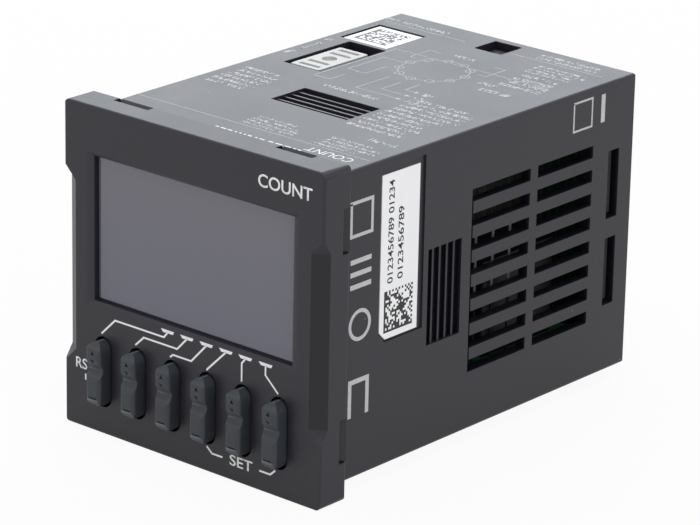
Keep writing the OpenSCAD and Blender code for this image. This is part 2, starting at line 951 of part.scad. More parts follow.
// Electrolytic cans: a crimp groove near the foot and a soft upper rim
module filter_can(d, h) {
    r = d / 2;
    rotate_extrude()
        difference() {
            union() {
                square([r - can_rim, h]);
                square([r, h - can_rim]);
                translate([r - can_rim, h - can_rim])
                    circle(can_rim);
            }
            translate([r, can_crimp_z])
                circle(can_crimp_r);
        }
}

module filter_capacitors() {
    color("#27324a")
        for (i = [0 : len(can_at) - 1])
            translate([can_at[i][0], can_at[i][1], z_low])
                filter_can(can_d[i], can_h[i]);
}

module film_capacitor() {
    color("#c9c2ac")
        standing(film_at, z_low, film_size);
}

// Round disc on two leads
module varistor() {
    color("#2b4f86")
        translate([varistor_at[0], varistor_at[1], z_low]) {
            translate([0, 0, lead_l + varistor_d / 2])
                along_y(-varistor_t / 2, varistor_t / 2)
                    circle(d = varistor_d);
            for (s = [-1, 1])
                translate([s * varistor_d / 4, 0, 0])
                    cylinder(d = lead_d, h = lead_l + varistor_d / 4);
        }
}

module output_relay() {
    color("#18181a")
        translate([relay_at[0], relay_at[1], 0])
            along_z(z_low, z_low + relay_size[2])
                soft_rect(relay_size[0], relay_size[1], relay_r);
}

// Square tube with a collar that enters the bezel
module case_shell() {
    long = case_l + 2 * over;
    difference() {
        union() {
            intersection() {
                along_y(-seat_t, case_l)
                    soft_rect(body_w, body_w, case_corner_r);
                along_x(-half, half)
                    translate([case_l - long / 2, 0])
                        soft_rect(long, body_w, case_edge_r);
                along_z(-half, half)
                    translate([0, case_l - long / 2])
                        soft_rect(body_w, long, case_edge_r);
            }
            along_y(-collar_l, over)
                square(collar_w, center = true);
            case_lugs();
        }
        along_y(-collar_l - over, case_l + over)
            square(inner_w, center = true);
    }
}

// Ramped lugs on the case that snap into the bezel's notches
module case_lugs() {
    lug_w = notch_l - 2 * fit;
    y0 = -notch_t + fit;
    z0 = (collar_w - collar_t) / 2;
    z1 = bezel_w / 2 - lug_sink;
    four_sides()
        for (s = [-1, 1])
            translate([s * notch_x, 0, 0])
                along_x(-lug_w / 2, lug_w / 2)
                    polygon([[y0, z0], [y0, z1 - lug_ramp], [0, z1], [0, z0]]);
}

// Grooves for the mounting clip, with their ribs a little below the outside
module ratchet_cuts() {
    x = ratchet_l / 2;
    y_end = ratchet_y + (ratchet_n - 1) * ratchet_pitch + ratchet_w;
    four_sides() {
        block([-x, x], [ratchet_y, y_end], [half - rib_sink, half + over]);
        for (i = [0 : ratchet_n - 1])
            translate([0, ratchet_y + i * ratchet_pitch, 0])
                block([-x, x], [0, ratchet_w], [half - ratchet_t, half + over]);
    }
}

module vent_cuts() {
    both_sides() {
        for (i = [0 : vent_rows - 1], k = [0, 1])
            translate([0, vent_y + k * (vent_l + vent_bar), slot_z(i)])
                block([inner - over, half + over], [0, vent_l], [-vent_h / 2, vent_h / 2]);
        block([half - vent_line_t, half + over], [vent_y - vent_line_w, vent_y], [-vent_half, vent_half]);
    }
}

module snap_cuts() {
    y1 = case_l - snap_end;
    top_and_bottom()
        block([-snap_w / 2, snap_w / 2], [y1 - snap_w, y1], [inner - over, half + over]);
    side_y1 = case_l - side_snap_end;
    both_sides()
        for (s = [-1, 1])
            translate([0, 0, s * side_snap_z])
                block([inner - over, half + over], [side_y1 - side_snap_l, side_y1],
                    [-side_snap_h / 2, side_snap_h / 2]);
}

module side_label_outline(grow, room) {
    y0 = side_label_y - grow;
    y1 = side_label_y + side_label_w + grow + room;
    z0 = side_label_z - side_label_h - grow;
    z1 = side_label_z + grow + room;
    polygon([[y0, z0 + side_label_cut], [y0 + side_label_cut, z0], [y1, z0], [y1, z1], [y0, z1]]);
}

module top_label_outline(grow) {
    size = top_label_w + 2 * grow;
    translate([top_label_x, top_label_y + top_label_w / 2])
        square(size, center = true);
}

// Guide rails for the two long boards and corner stops for the display board
module case_guides() {
    both_sides()
        top_and_bottom()
            for (s = [-1, 1])
                translate([0, 0, deck_z + s * (board_t + rail_h + fit) / 2])
                    block([inner - rail_w, inner + fit], [y_deck + rail_w, y_deck_end - rail_w],
                        [-rail_h / 2, rail_h / 2]);
    both_sides()
        top_and_bottom()
            block([inner - stop_w, inner + fit], [y_stop, y_stop + stop_t], [inner - stop_w, inner + fit]);
}

module case() {
    color("#3f3f42") {
        difference() {
            case_shell();
            ratchet_cuts();
            vent_cuts();
            snap_cuts();
            translate([selector_x, selector_mid, 0])
                along_z(inner - over, half + over)
                    square([selector_w, selector_l], center = true);
            along_x(half - label_recess, half + over)
                side_label_outline(label_gap, label_room);
            along_z(half - label_recess, half + over)
                top_label_outline(label_gap);
        }
        case_guides();
    }
}

module side_label() {
    x = half - label_recess;
    color("#ececea")
        along_x(x, x + label_t)
            side_label_outline(0, 0);
}

module top_label() {
    z = half - label_recess;
    color("#ececea")
        along_z(z, z + label_t)
            top_label_outline(0);
}

module each_plug_pin() {
    for (i = [0 : plug_pin_n - 1])
        rotate([0, -pin_turn(i), 0])
            translate([plug_pcd / 2, 0, 0])
                children();
}

module rear_board() {
    color("#1f5b36")
        along_y(y_rear, y_rear_back)
            difference() {
                soft_rect(rear_board_w, rear_board_w, board_r);
                for (i = [0 : plug_pin_n - 1])
                    rotate(pin_turn(i))
                        translate([plug_pcd / 2, 0])
                            circle(d = tail_d + 2 * fit);
            }
}

// Ramped hooks that spring into the case's windows
module snap_hooks() {
    base = base_w / 2 - skirt_t / 2;
    top = half - hook_depth;
    y1 = case_l - snap_end - hook_gap;
    y0 = y1 - snap_w + 2 * hook_gap;
    top_and_bottom()
        along_x(-snap_w / 2 + hook_gap, snap_w / 2 - hook_gap)
            polygon([[y0, base], [y0, inner], [y1 - hook_flat, top], [y1, top], [y1, base]]);
    side_y1 = case_l - side_snap_end - hook_gap;
    side_y0 = side_y1 - side_snap_l + 2 * hook_gap;
    both_sides()
        for (s = [-1, 1])
            translate([0, 0, s * side_snap_z])
                along_z(-side_snap_h / 2 + hook_gap, side_snap_h / 2 - hook_gap)
                    polygon([[base, side_y0], [inner, side_y0], [top, side_y1], [base, side_y1]]);
}

// Rear cover with its skirt, hooks, round plug face and keyed post
module plug_base() {
    post_at = rear_board_w / 2 - standoff_in;
    color("#2e2e31")
        difference() {
            union() {
                along_y(y_base, y_cover)
                    square(base_w, center = true);
                along_y(y_skirt, y_base)
                    difference() {
                        square(base_w, center = true);
                        square(base_w - 2 * skirt_t, center = true);
                    }
                snap_hooks();
                along_y(y_cover, y_boss)
                    circle(d = boss_d, $fn = 96);
                along_y(y_cover, y_boss + post_l)
                    circle(d = post_d, $fn = 96);
                block([-post_key_w / 2, post_key_w / 2], [y_cover, y_boss + post_l - post_key_end],
                    [-post_d / 2 - post_key_h, 0]);
                for (x = [-1, 1], z = [-1, 1])
                    translate([x * post_at, 0, z * post_at])
                        along_y(y_rear_back, y_base)
                            circle(d = standoff_d);
            }
            each_plug_pin()
                along_y(y_base - over, y_boss + over)
                    circle(d = plug_pin_d + fit / 2);
        }
}

// Turned pins: a thin tail through the rear board, a head inside the cover and a tapered tip
module plug_pins() {
    y_end = y_boss + plug_pin_l;
    color("#c8b273")
        each_plug_pin() {
            along_y(y_rear - pin_head_t, y_base)
                circle(d = tail_d);
            along_y(y_base - pin_head_t, y_base)
                circle(d = pin_head_d);
            along_y(y_base, y_end - pin_tip_l)
                circle(d = plug_pin_d);
            translate([0, y_end - pin_tip_l, 0])
                rotate([-90, 0, 0])
                    cylinder(d1 = plug_pin_d, d2 = plug_pin_d / 2, h = pin_tip_l);
        }
}

front_bezel();
display_window();
lcd_panel();
lcd_holder();
light_guide();
backlight_leds();
zebra_strips();
rocker_key(0);  // rocker_key_1
rocker_key(1);  // rocker_key_2
rocker_key(2);  // rocker_key_3
rocker_key(3);  // rocker_key_4
rocker_key(4);  // rocker_key_5
rocker_key(5);  // rocker_key_6
key_mat();
key_switches();
display_board();
controller_chip();
board_headers();
board_links();
upper_board();
optocouplers();
selector_switch();
selector_knob();
lower_board();
transformer_core();
transformer_bobbin();
transformer_winding();
filter_capacitors();
film_capacitor();
varistor();
output_relay();
case();
side_label();
top_label();
rear_board();
plug_base();
plug_pins();
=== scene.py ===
# %% [markdown]
# # Dressing a panel counter
# A panel counter is a small plug-in instrument. A square bezel carries a display and six rocker keys, a
# vented case holds the circuit boards, and a ring of pins at the rear goes into a socket. Its exact solids
# already exist, so this lesson never moves them. It rounds the sharp edges that a mould would leave round,
# gives every piece the finish of its real material, adds the printing, and sets up a plain studio.

# %% Load the solids and keep their box
import math
import random

import bmesh
import bpy
from mathutils import Matrix, Vector


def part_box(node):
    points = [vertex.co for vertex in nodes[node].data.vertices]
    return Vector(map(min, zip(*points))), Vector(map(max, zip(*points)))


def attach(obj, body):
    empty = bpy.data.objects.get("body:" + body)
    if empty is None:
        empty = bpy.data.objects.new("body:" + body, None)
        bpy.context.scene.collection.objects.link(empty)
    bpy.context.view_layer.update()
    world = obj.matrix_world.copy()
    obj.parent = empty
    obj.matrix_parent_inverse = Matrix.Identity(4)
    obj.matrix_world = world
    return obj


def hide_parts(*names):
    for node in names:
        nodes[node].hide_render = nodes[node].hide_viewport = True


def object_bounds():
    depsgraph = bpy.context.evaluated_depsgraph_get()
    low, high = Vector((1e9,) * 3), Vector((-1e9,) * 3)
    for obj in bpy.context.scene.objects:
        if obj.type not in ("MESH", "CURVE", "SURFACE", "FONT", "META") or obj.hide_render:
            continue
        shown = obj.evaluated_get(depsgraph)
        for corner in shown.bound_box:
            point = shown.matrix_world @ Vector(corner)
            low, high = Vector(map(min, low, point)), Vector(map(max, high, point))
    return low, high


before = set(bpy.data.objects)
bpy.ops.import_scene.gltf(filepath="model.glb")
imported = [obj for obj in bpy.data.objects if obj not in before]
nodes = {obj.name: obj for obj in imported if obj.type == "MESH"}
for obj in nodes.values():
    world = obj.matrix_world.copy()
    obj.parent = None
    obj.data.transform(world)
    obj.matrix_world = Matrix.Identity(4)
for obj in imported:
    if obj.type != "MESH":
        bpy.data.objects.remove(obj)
cad_low, cad_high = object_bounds()
MM = 0.001
print("loaded", len(nodes), "solids, box in mm:", [round(v / MM, 2) for v in cad_high - cad_low])

# %% [markdown]
# ## Camera
# The picture was taken from the right and a little above, with a long lens, so the far edges hardly
# shrink. A camera could be aimed with a Track To constraint. Here its turn is built from three plain
# angles instead, because the slight roll of the picture would be lost by a constraint.

# %% Place the camera
LENS_MM = 200.4
AIM_MM = (15.19, 10.22, 5.56)
CAMERA_DISTANCE_MM = 530.8
AZIMUTH_DEG = 40.56
ELEVATION_DEG = 19.70
ROLL_DEG = 1.20
NEAR_CLIP_M = 0.01

turn = Matrix.Rotation(math.radians(AZIMUTH_DEG), 4, "Z")
tilt = Matrix.Rotation(math.radians(90 - ELEVATION_DEG), 4, "X")
roll = Matrix.Rotation(math.radians(ROLL_DEG), 4, "Z")
facing = turn @ tilt @ roll
away = facing.to_3x3() @ Vector((0, 0, CAMERA_DISTANCE_MM * MM))
bpy.ops.object.camera_add()
camera = bpy.context.object
camera.data.lens = LENS_MM
camera.data.clip_start = NEAR_CLIP_M
camera.matrix_world = Matrix.Translation(Vector(AIM_MM) * MM + away) @ facing
bpy.context.scene.camera = camera
print("camera at", [round(v / MM, 1) for v in camera.location])

# %% [markdown]
# ## Helpers for modelling
# Operators act on whatever is selected, and the loaded solids still are, so each step first clears the
# selection. The pieces are fractions of a millimetre thick. Blender's merge and bevel tools like larger
# numbers, so pieces are shaped with one unit as a millimetre and brought down to metres at the end.

# %% Clear the selection, pick one object, finish a piece
def clear_selection():
    """Leaves edit mode and deselects everything."""
    if bpy.context.mode != "OBJECT":
        bpy.ops.object.mode_set(mode="OBJECT")
    bpy.ops.object.select_all(action="DESELECT")


def pick(piece):
    """Makes one object the selected and active one."""
    clear_selection()
    piece.select_set(True)
    bpy.context.view_layer.objects.active = piece


def finish_piece(piece, name, body, material):
    """Names a piece, gives it its finish and lets it ride on a body of the frame."""
    piece.name = name
    piece.data.name = name
    piece.data.materials.clear()
    piece.data.materials.append(material)
    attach(piece, body)
    print("made", name, "with", len(piece.data.polygons), "faces on", body)


print("modelling helpers ready")

# %% [markdown]
# ## Helpers for finishes
# A finish is a small tree of shader nodes. One function adds a node, fills its fields and links its inputs,
# so each material below reads as a list. Colours are written as sRGB hex values, as a paint chart gives
# them, and turned to the linear values that shaders add up. Pattern sizes are given in millimetres.

# %% Colours and pattern scales
def linear(hex_code):
    """The linear RGBA of an sRGB hex colour."""
    channels = [int(hex_code[i:i + 2], 16) / 255 for i in (1, 3, 5)]
    return [c / 12.92 if c <= 0.04045 else ((c + 0.055) / 1.055) ** 2.4 for c in channels] + [1.0]


def scaled(hex_code, share):
    """The linear RGBA of a colour that is made darker or paler by a share."""
    return [channel * share for channel in linear(hex_code)[:3]] + [1.0]


def per_mm(size):
    """The texture scale at which one feature is this many millimetres wide."""
    return 1 / (size * MM)


print("the middle grey #808080 is", round(linear("#808080")[0], 3), "in linear light")


# %% Shader nodes
def add_node(material, kind, settings, links=None):
    """Adds a shader node. Settings fill its fields and inputs by name, links join inputs to outputs."""
    node = material.node_tree.nodes.new("ShaderNode" + kind)
    for name, value in settings.items():
        if isinstance(name, str) and hasattr(node, name):
            setattr(node, name, value)
        else:
            node.inputs[name].default_value = value
    for name, output in (links or {}).items():
        material.node_tree.links.new(output, node.inputs[name])
    return node


def start_finish(name, surface):
    """A material with its constant sockets set, its shader and its object coordinates."""
    material = bpy.data.materials.new(name)
    material.use_nodes = True
    shader = material.node_tree.nodes["Principled BSDF"]
    for socket, value in surface.items():
        shader.inputs[socket].default_value = value
    place = add_node(material, "TexCoord", {}).outputs["Object"]
    return material, shader, place


def drive(material, shader, sockets):
    """Links the outputs that vary over the surface to the shader."""
    for socket, output in sockets.items():
        material.node_tree.links.new(output, shader.inputs[socket])


print("finish helpers ready")

# %% [markdown]
# ## Moulded plastics
# The bezel, the case and the keys are injection moulded ABS. The steel of such a mould is spark eroded,
# which leaves an even fine grain, so the plastic looks dull from the front and shines only at a low angle.
# The grain could be modelled, but it would take millions of faces, so it is a bump in the finish. On the
# real part it is about a tenth of a millimetre wide. Here it is drawn at three tenths, because a finer one
# would not show in the picture. Faint clouds and a few dust specks keep large faces from looking computed.

# %% A finish for moulded plastic
PLASTIC_IOR = 1.46
CLOUD_DARK, CLOUD_PALE = 0.90, 1.10
SHEEN_SPREAD = 0.04
DUST_SPACING_MM = 6.5
DUST_SIZE = 0.016
DUST_SHADE = "#c8c6c0"


def moulded_plastic(name, shade, roughness, grain_mm=0.3, grain_depth=0.10, dust=0.35, cloud_mm=11.0):
    """Dull grained plastic with faint clouds, and dust specks that lighten it by the share dust."""
    material, shader, place = start_finish(name, {"IOR": PLASTIC_IOR})
    clouds = add_node(material, "TexNoise", {"Scale": per_mm(cloud_mm), "Detail": 3.0}, {"Vector": place})
    grain = add_node(material, "TexNoise", {"Scale": per_mm(grain_mm), "Detail": 2.0}, {"Vector": place})
    tint = add_node(material, "Mix", {"data_type": "RGBA", "A": scaled(shade, CLOUD_DARK),
                                      "B": scaled(shade, CLOUD_PALE)},
                    {"Factor": clouds.outputs["Fac"]})
    specks = add_node(material, "TexVoronoi", {"Scale": per_mm(DUST_SPACING_MM)}, {"Vector": place})
    is_speck = add_node(material, "Math", {"operation": "LESS_THAN", 1: DUST_SIZE},
                        {0: specks.outputs["Distance"]})
    amount = add_node(material, "Math", {"operation": "MULTIPLY", 1: dust},
                      {0: is_speck.outputs["Value"]})
    dusty = add_node(material, "Mix", {"data_type": "RGBA", "B": linear(DUST_SHADE)},
                     {"Factor": amount.outputs["Value"], "A": tint.outputs["Result"]})
    sheen = add_node(material, "MapRange", {"To Min": roughness - SHEEN_SPREAD,
                                            "To Max": roughness + SHEEN_SPREAD},
                     {"Value": clouds.outputs["Fac"]})
    bump = add_node(material, "Bump", {"Strength": grain_depth, "Distance": grain_mm * MM},
                    {"Height": grain.outputs["Fac"]})
    drive(material, shader, {"Base Color": dusty.outputs["Result"], "Roughness": sheen.outputs["Result"],
                             "Normal": bump.outputs["Normal"]})
    return material


# %% The plastics of the counter
# Charcoal ABS: nearly black, but lifted to grey by its own sheen
bezel_abs = moulded_plastic("charcoal ABS, fine grain", "#222129", 0.42)
case_abs = moulded_plastic("charcoal ABS, case", "#222129", 0.40)
# Key caps: a colder, duller plastic, soft to the finger, with worn patches
key_abs = moulded_plastic("blue-black soft-touch ABS", "#31353b", 0.52, grain_depth=0.06, cloud_mm=2.2)
# Plug: a glass-filled nylon, blacker and duller than the case
plug_nylon = moulded_plastic("black glass-filled nylon", "#1f1f21", 0.5, dust=0.2)
# Slider: light grey acetal, waxy and slightly shiny
slider_acetal = moulded_plastic("light grey acetal", "#bcbdba", 0.36, grain_depth=0.05, dust=0.0)
plastics = (bezel_abs, case_abs, key_abs, plug_nylon, slider_acetal)
print("moulded plastics:", [plastic.name for plastic in plastics])

# %% [markdown]
# ## Painted highlight on the key edges
# A thin paler line runs round each key, where light catches its rounded edges, and that highlight is
# painted into the colour. It could be painted by hand. Here the mesh itself says where it bends outwards,
# and the colour follows that.

# %% Painted highlight on the key edges
BEND_FROM, BEND_TO = 0.52, 0.62
EDGE_HIGHLIGHT_SHARE = 0.55
EDGE_HIGHLIGHT_SHADE = "#7c828b"


def blend_shade(material, mask, shade):
    """Blends the base colour of a finish towards a shade by a mask."""
    shader = material.node_tree.nodes["Principled BSDF"]
    plain = shader.inputs["Base Color"].links[0].from_socket
    blend = add_node(material, "Mix", {"data_type": "RGBA", "B": linear(shade)},
                     {"Factor": mask, "A": plain})
    drive(material, shader, {"Base Color": blend.outputs["Result"]})


# Painted highlight: the key colour turns paler where the mesh bends outwards
bend = add_node(key_abs, "NewGeometry", {})
highlighted = add_node(key_abs, "MapRange", {"From Min": BEND_FROM, "From Max": BEND_TO, "To Max": EDGE_HIGHLIGHT_SHARE},
                {"Value": bend.outputs["Pointiness"]})
blend_shade(key_abs, highlighted.outputs["Result"], EDGE_HIGHLIGHT_SHADE)
print("edges worn on", key_abs.name)

# %% [markdown]
# ## Painted shade in the finger grips and slots
# A long grip is cut along each side of the bezel. Its recess, and the walls of the slots and grooves in the
# sides of the case, lie in shade, and that shade is painted into the colour: the plastic there is drawn
# nearly black. Such faces could be picked and given a second material. Here a mask is worked out from the
# place of each point instead, because each place is simply the inside of a box.

# %% A mask in the shape of a box
BOX_SLACK_MM = 0.01


def box_mask(material, x_mm, y_mm, z_mm):
    """A mask of the points in a box and its mirror image on the left, from three ranges in millimetres."""
    place = add_node(material, "TexCoord", {})
    parts = add_node(material, "SeparateXYZ", {}, {"Vector": place.outputs["Object"]})
    width = add_node(material, "Math", {"operation": "ABSOLUTE"}, {0: parts.outputs["X"]})
    measures = (width.outputs["Value"], parts.outputs["Y"], parts.outputs["Z"])
    inside = []
    for measure, (low, high) in zip(measures, (x_mm, y_mm, z_mm)):
        middle = (low + high) / 2 * MM
        half = ((high - low) / 2 + BOX_SLACK_MM) * MM
        within = add_node(material, "Math", {"operation": "COMPARE", 1: middle, 2: half}, {0: measure})
        inside.append(within.outputs["Value"])
    band = add_node(material, "Math", {"operation": "MULTIPLY"}, {0: inside[0], 1: inside[1]})
    mask = add_node(material, "Math", {"operation": "MULTIPLY"},
                    {0: band.outputs["Value"], 1: inside[2]})
    return mask.outputs["Value"]


print("box mask ready")

# %% Paint shade into the grips of the bezel and the slots of the case
# Painted shade: the recesses of the grips and slots are drawn in this near-black
PAINTED_RECESS_SHADE = "#0d0c16"
GRIP_INNER_X_MM, GRIP_HALF_Z_MM, GRIP_DEPTH_MM = 21.85, 12.45, 1.45
LABEL_SINK_MM = 0.15
CASE_SIDE_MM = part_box("side_label")[1].x / MM + LABEL_SINK_MM
SLOT_SKIN_MM, SLOT_HALF_Z_MM = 0.35, 15.0

bezel_low, bezel_high = [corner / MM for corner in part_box("front_bezel")]
grips = box_mask(bezel_abs, (GRIP_INNER_X_MM, bezel_high.x), (bezel_low.y, bezel_low.y + GRIP_DEPTH_MM),
                 (-GRIP_HALF_Z_MM, GRIP_HALF_Z_MM))
blend_shade(bezel_abs, grips, PAINTED_RECESS_SHADE)
case_low, case_high = [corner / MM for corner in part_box("case")]
slots = box_mask(case_abs, (0, CASE_SIDE_MM - SLOT_SKIN_MM), (case_low.y, case_high.y - SLOT_SKIN_MM),
                 (-SLOT_HALF_Z_MM, SLOT_HALF_Z_MM))
blend_shade(case_abs, slots, PAINTED_RECESS_SHADE)
print("darkened the grips on", bezel_abs.name, "and the slots on", case_abs.name)

# %% [markdown]
# ## Window and display
# Behind the front lies a smoked acrylic panel, and behind that a liquid crystal cell that shows nothing
# while it has no power. The smoke hides the cell, so the window is an even violet grey up to its border. A
# glass shader would bend every ray, and a renderer then finds little light behind it. A flat sheet does not
# shift the picture, so here it is a dark polished surface that lets a small share of the light straight
# through to the dull polarising film of the cell.

# %% Smoked acrylic
SMOKE = 0.92
TWO_FACES_IOR = 1.8
# Painted light: the sheet turns paler and warmer between these heights
PAINTED_LIGHT_FOOT_MM, PAINTED_LIGHT_HEAD_MM = -5, 17
WIPE_MM, WIPE_STRETCH = 4.0, 6.0
HAZE_LOW, HAZE_HIGH = 0.05, 0.14


def smoked_acrylic():
    """Polished smoked sheet, painted paler and warmer towards its top as painted light.
    The index stands for the gleam of both its faces.
    """
    material, shader, place = start_finish("smoked acrylic", {"IOR": TWO_FACES_IOR, "Alpha": SMOKE})
    parts = add_node(material, "SeparateXYZ", {}, {"Vector": place})
    height = add_node(material, "MapRange", {"From Min": PAINTED_LIGHT_FOOT_MM * MM, "From Max": PAINTED_LIGHT_HEAD_MM * MM},
                      {"Value": parts.outputs["Z"]})
    tint = add_node(material, "Mix", {"data_type": "RGBA", "A": linear("#5a5b6d"), "B": linear("#676470")},
                    {"Factor": height.outputs["Result"]})
    wiped = add_node(material, "Mapping", {"Scale": (1.0, 1.0, WIPE_STRETCH)}, {"Vector": place})
    marks = add_node(material, "TexNoise", {"Scale": per_mm(WIPE_MM), "Detail": 4.0},
                     {"Vector": wiped.outputs["Vector"]})
    haze = add_node(material, "MapRange", {"To Min": HAZE_LOW, "To Max": HAZE_HIGH},
                    {"Value": marks.outputs["Fac"]})
    drive(material, shader, {"Base Color": tint.outputs["Result"], "Roughness": haze.outputs["Result"]})
    return material


acrylic = smoked_acrylic()
print("window finish:", acrylic.name)

# %% Polarising film
FILM_IOR = 1.5
COAT_MM = 8.0
DULL_LOW, DULL_HIGH = 0.30, 0.42


def polarising_film():
    """Violet grey film with the dull patches of an anti-glare coat."""
    material, shader, place = start_finish("polarising film on glass", {"IOR": FILM_IOR})
    coat = add_node(material, "TexNoise", {"Scale": per_mm(COAT_MM), "Detail": 2.0}, {"Vector": place})
    tint = add_node(material, "Mix", {"data_type": "RGBA", "A": linear("#5b5c6e"), "B": linear("#646369")},
                    {"Factor": coat.outputs["Fac"]})
    dull = add_node(material, "MapRange", {"To Min": DULL_LOW, "To Max": DULL_HIGH},
                    {"Value": coat.outputs["Fac"]})
    drive(material, shader, {"Base Color": tint.outputs["Result"], "Roughness": dull.outputs["Result"]})
    return material


polariser = polarising_film()
print("display finish:", polariser.name)

# %% [markdown]
# ## Inks and labels
# The printing is pad-printed white ink, a few hundredths of a millimetre thick. It could be one flat white.
# Ink never covers quite evenly, so its white is broken here by a fine mottle. The labels are white polyester
# film with black thermal print.

# %% Inks and label film
def mottled(name, shade, other_shade, roughness, mottle_mm):
    """An ink or film whose colour wanders between two close shades."""
    material, shader, place = start_finish(name, {"Roughness": roughness})
    mottle = add_node(material, "TexNoise", {"Scale": per_mm(mottle_mm), "Detail": 2.0},
                      {"Vector": place})
    tint = add_node(material, "Mix", {"data_type": "RGBA", "A": linear(shade), "B": linear(other_shade)},
                    {"Factor": mottle.outputs["Fac"]})
    drive(material, shader, {"Base Color": tint.outputs["Result"]})
    return material


# Full coat of white: bright and dry
white_ink = mottled("white pad-print ink", "#fbfbfb", "#eeeff1", 0.5, 0.5)
# Screen print round the window: a flat black
black_ink = mottled("black screen-print ink", "#101012", "#18181a", 0.45, 0.5)
# Thin coat of white: the plastic below greys it
thin_ink = mottled("thin grey-white pad-print ink", "#c6c8cc", "#b2b4b8", 0.5, 0.5)
# Foamed plastic left by a laser: dry and grey
grey_ink = mottled("grey laser marking", "#cfcfd1", "#b4b4b7", 0.6, 0.4)
# Label stock: a clean satin white
label_film = mottled("white polyester label film", "#fcfcfd", "#f6f6f8", 0.32, 5.0)
# Thermal print: a soft black, greyer in patches
label_print = mottled("black thermal print", "#141416", "#232326", 0.45, 0.4)
inks = (white_ink, black_ink, thin_ink, grey_ink, label_film, label_print)
print("inks and labels:", [ink.name for ink in inks])

# %% [markdown]
# ## What shows through the vents
# Inside are green glass-epoxy boards, a transformer, capacitors and a relay. They are seen only as glints
# through the slots and could all be black. Each still gets the colour and gloss of its real material, with
# simple trees of nodes, because a library part is also looked at with its case taken off. Only the green of
# the boards is painted in two strengths: darker on the display, upper and rear boards as painted shade, and
# paler on the lower board as painted light, so that it shows behind the lowest slots.

# %% Circuit boards
BOARD_GLOSS, BOARD_IOR = 0.28, 1.55
LANE_MM, TRACK_SHARE = 3.0, 0.06
TRACK_STRENGTH, TRACK_RISE_MM = 0.2, 0.05


def solder_mask(name, shade, other_shade, track_shade):
    """Green lacquer over copper tracks, which show as paler lanes."""
    material, shader, place = start_finish(name, {"Roughness": BOARD_GLOSS, "IOR": BOARD_IOR})
    lanes = add_node(material, "TexBrick", {"Color1": linear(shade), "Color2": linear(other_shade),
                                            "Mortar": linear(track_shade), "Scale": per_mm(LANE_MM),
                                            "Mortar Size": TRACK_SHARE}, {"Vector": place})
    bump = add_node(material, "Bump", {"Strength": TRACK_STRENGTH, "Distance": TRACK_RISE_MM * MM},
                    {"Height": lanes.outputs["Fac"]})
    drive(material, shader, {"Base Color": lanes.outputs["Color"], "Normal": bump.outputs["Normal"]})
    return material


# Solder mask painted darker, as painted shade: it reads as black until light grazes it
shaded_board_green = solder_mask("dark green solder mask on glass epoxy", "#0b2a19", "#0a2516", "#16462b")
# The same solder mask painted paler, as painted light: the one clear green behind the lowest slots
lit_board_green = solder_mask("green solder mask on glass epoxy", "#25804c", "#207243", "#38a06a")
print("board finishes:", shaded_board_green.name, "and", lit_board_green.name)

# %% Plated metals
ROLLING_MM = 0.4
SMOOTHER, ROUGHER = 0.03, 0.04
METAL_DIM = 0.92


def plated_metal(name, shade, roughness):
    """Plated metal with fine turning or rolling marks."""
    material, shader, place = start_finish(name, {"Metallic": 1.0})
    marks = add_node(material, "TexNoise", {"Scale": per_mm(ROLLING_MM), "Detail": 3.0},
                     {"Vector": place})
    wear = add_node(material, "MapRange", {"To Min": roughness - SMOOTHER, "To Max": roughness + ROUGHER},
                    {"Value": marks.outputs["Fac"]})
    tint = add_node(material, "Mix", {"data_type": "RGBA", "A": scaled(shade, METAL_DIM),
                                      "B": linear(shade)}, {"Factor": marks.outputs["Fac"]})
    drive(material, shader, {"Base Color": tint.outputs["Result"], "Roughness": wear.outputs["Result"]})
    return material


# Pins: a warm, fairly bright silver
nickel = plated_metal("nickel-plated brass", "#d8d2c2", 0.24)
# Switch shells: a colder and duller silver
steel = plated_metal("tinned steel", "#b8babd", 0.34)
print("metals:", nickel.name, "and", steel.name)

# %% [markdown]
# ## Link wires
# Three wires join the upper and the lower board. Black sleeves are drawn over their ends, so only their
# middles glint in the slots. That black is painted shade, which keeps the wires dark where the inside of
# the case is dark. The sleeves could be tubes of their own. They fit so tightly that here the colour
# changes along each wire instead, and the dull tin of the middle is drawn as a plain grey.

# %% Link wires in sleeves
BARE_FOOT_MM, BARE_HEAD_MM = -5.4, 5.0
BARE_SHADE = "#8d8f92"

# Painted shade: outside its bare middle the wire is drawn black
wire_with_shaded_ends = mottled("tinned copper wire in black sleeves", "#161618", "#1c1c1e", 0.44, 0.4)
wire_low, wire_high = [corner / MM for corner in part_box("board_links")]
bare = box_mask(wire_with_shaded_ends, (wire_low.x, wire_high.x), (wire_low.y, wire_high.y),
                (BARE_FOOT_MM, BARE_HEAD_MM))
blend_shade(wire_with_shaded_ends, bare, BARE_SHADE)
print("bare wire from", BARE_FOOT_MM, "to", BARE_HEAD_MM, "mm")

# %% [markdown]
# ## Finishes of the inner solids
# The inner pieces keep their exact solids, because no mould edge of theirs is seen. Each could get a piece
# of its own, but a finish on the solid is enough.

# %% Display, keys and labels
def dress(finishes):
    """Gives solids of the frame their finishes."""
    for node_name, finish in finishes.items():
        nodes[node_name].data.materials.clear()
        nodes[node_name].data.materials.append(finish)
    print("finished in place:", ", ".join(finishes))


# Phenolic: a dull black with a faint grain
black_moulding = moulded_plastic("black phenolic", "#161618", 0.45, dust=0.0)
dress({
    "display_window": acrylic,
    "lcd_panel": polariser,
    "lcd_holder": black_moulding,
    # Milky and even
    "light_guide": mottled("frosted acrylic", "#e6eaee", "#d8dde2", 0.3, 3.0),
    # Pale yellow while it is off
    "backlight_leds": mottled("phosphor resin", "#f2ecc4", "#e4dca8", 0.35, 0.5),
    # Grey, striped too finely to see
    "zebra_strips": mottled("conductive rubber", "#9c988c", "#6f6b60", 0.7, 0.3),
    # Dull grey without a gleam
    "key_mat": mottled("silicone rubber", "#85898e", "#777b80", 0.6, 2.0),
    "key_switches": steel,
    "side_label": label_film,
    "top_label": label_film,
})

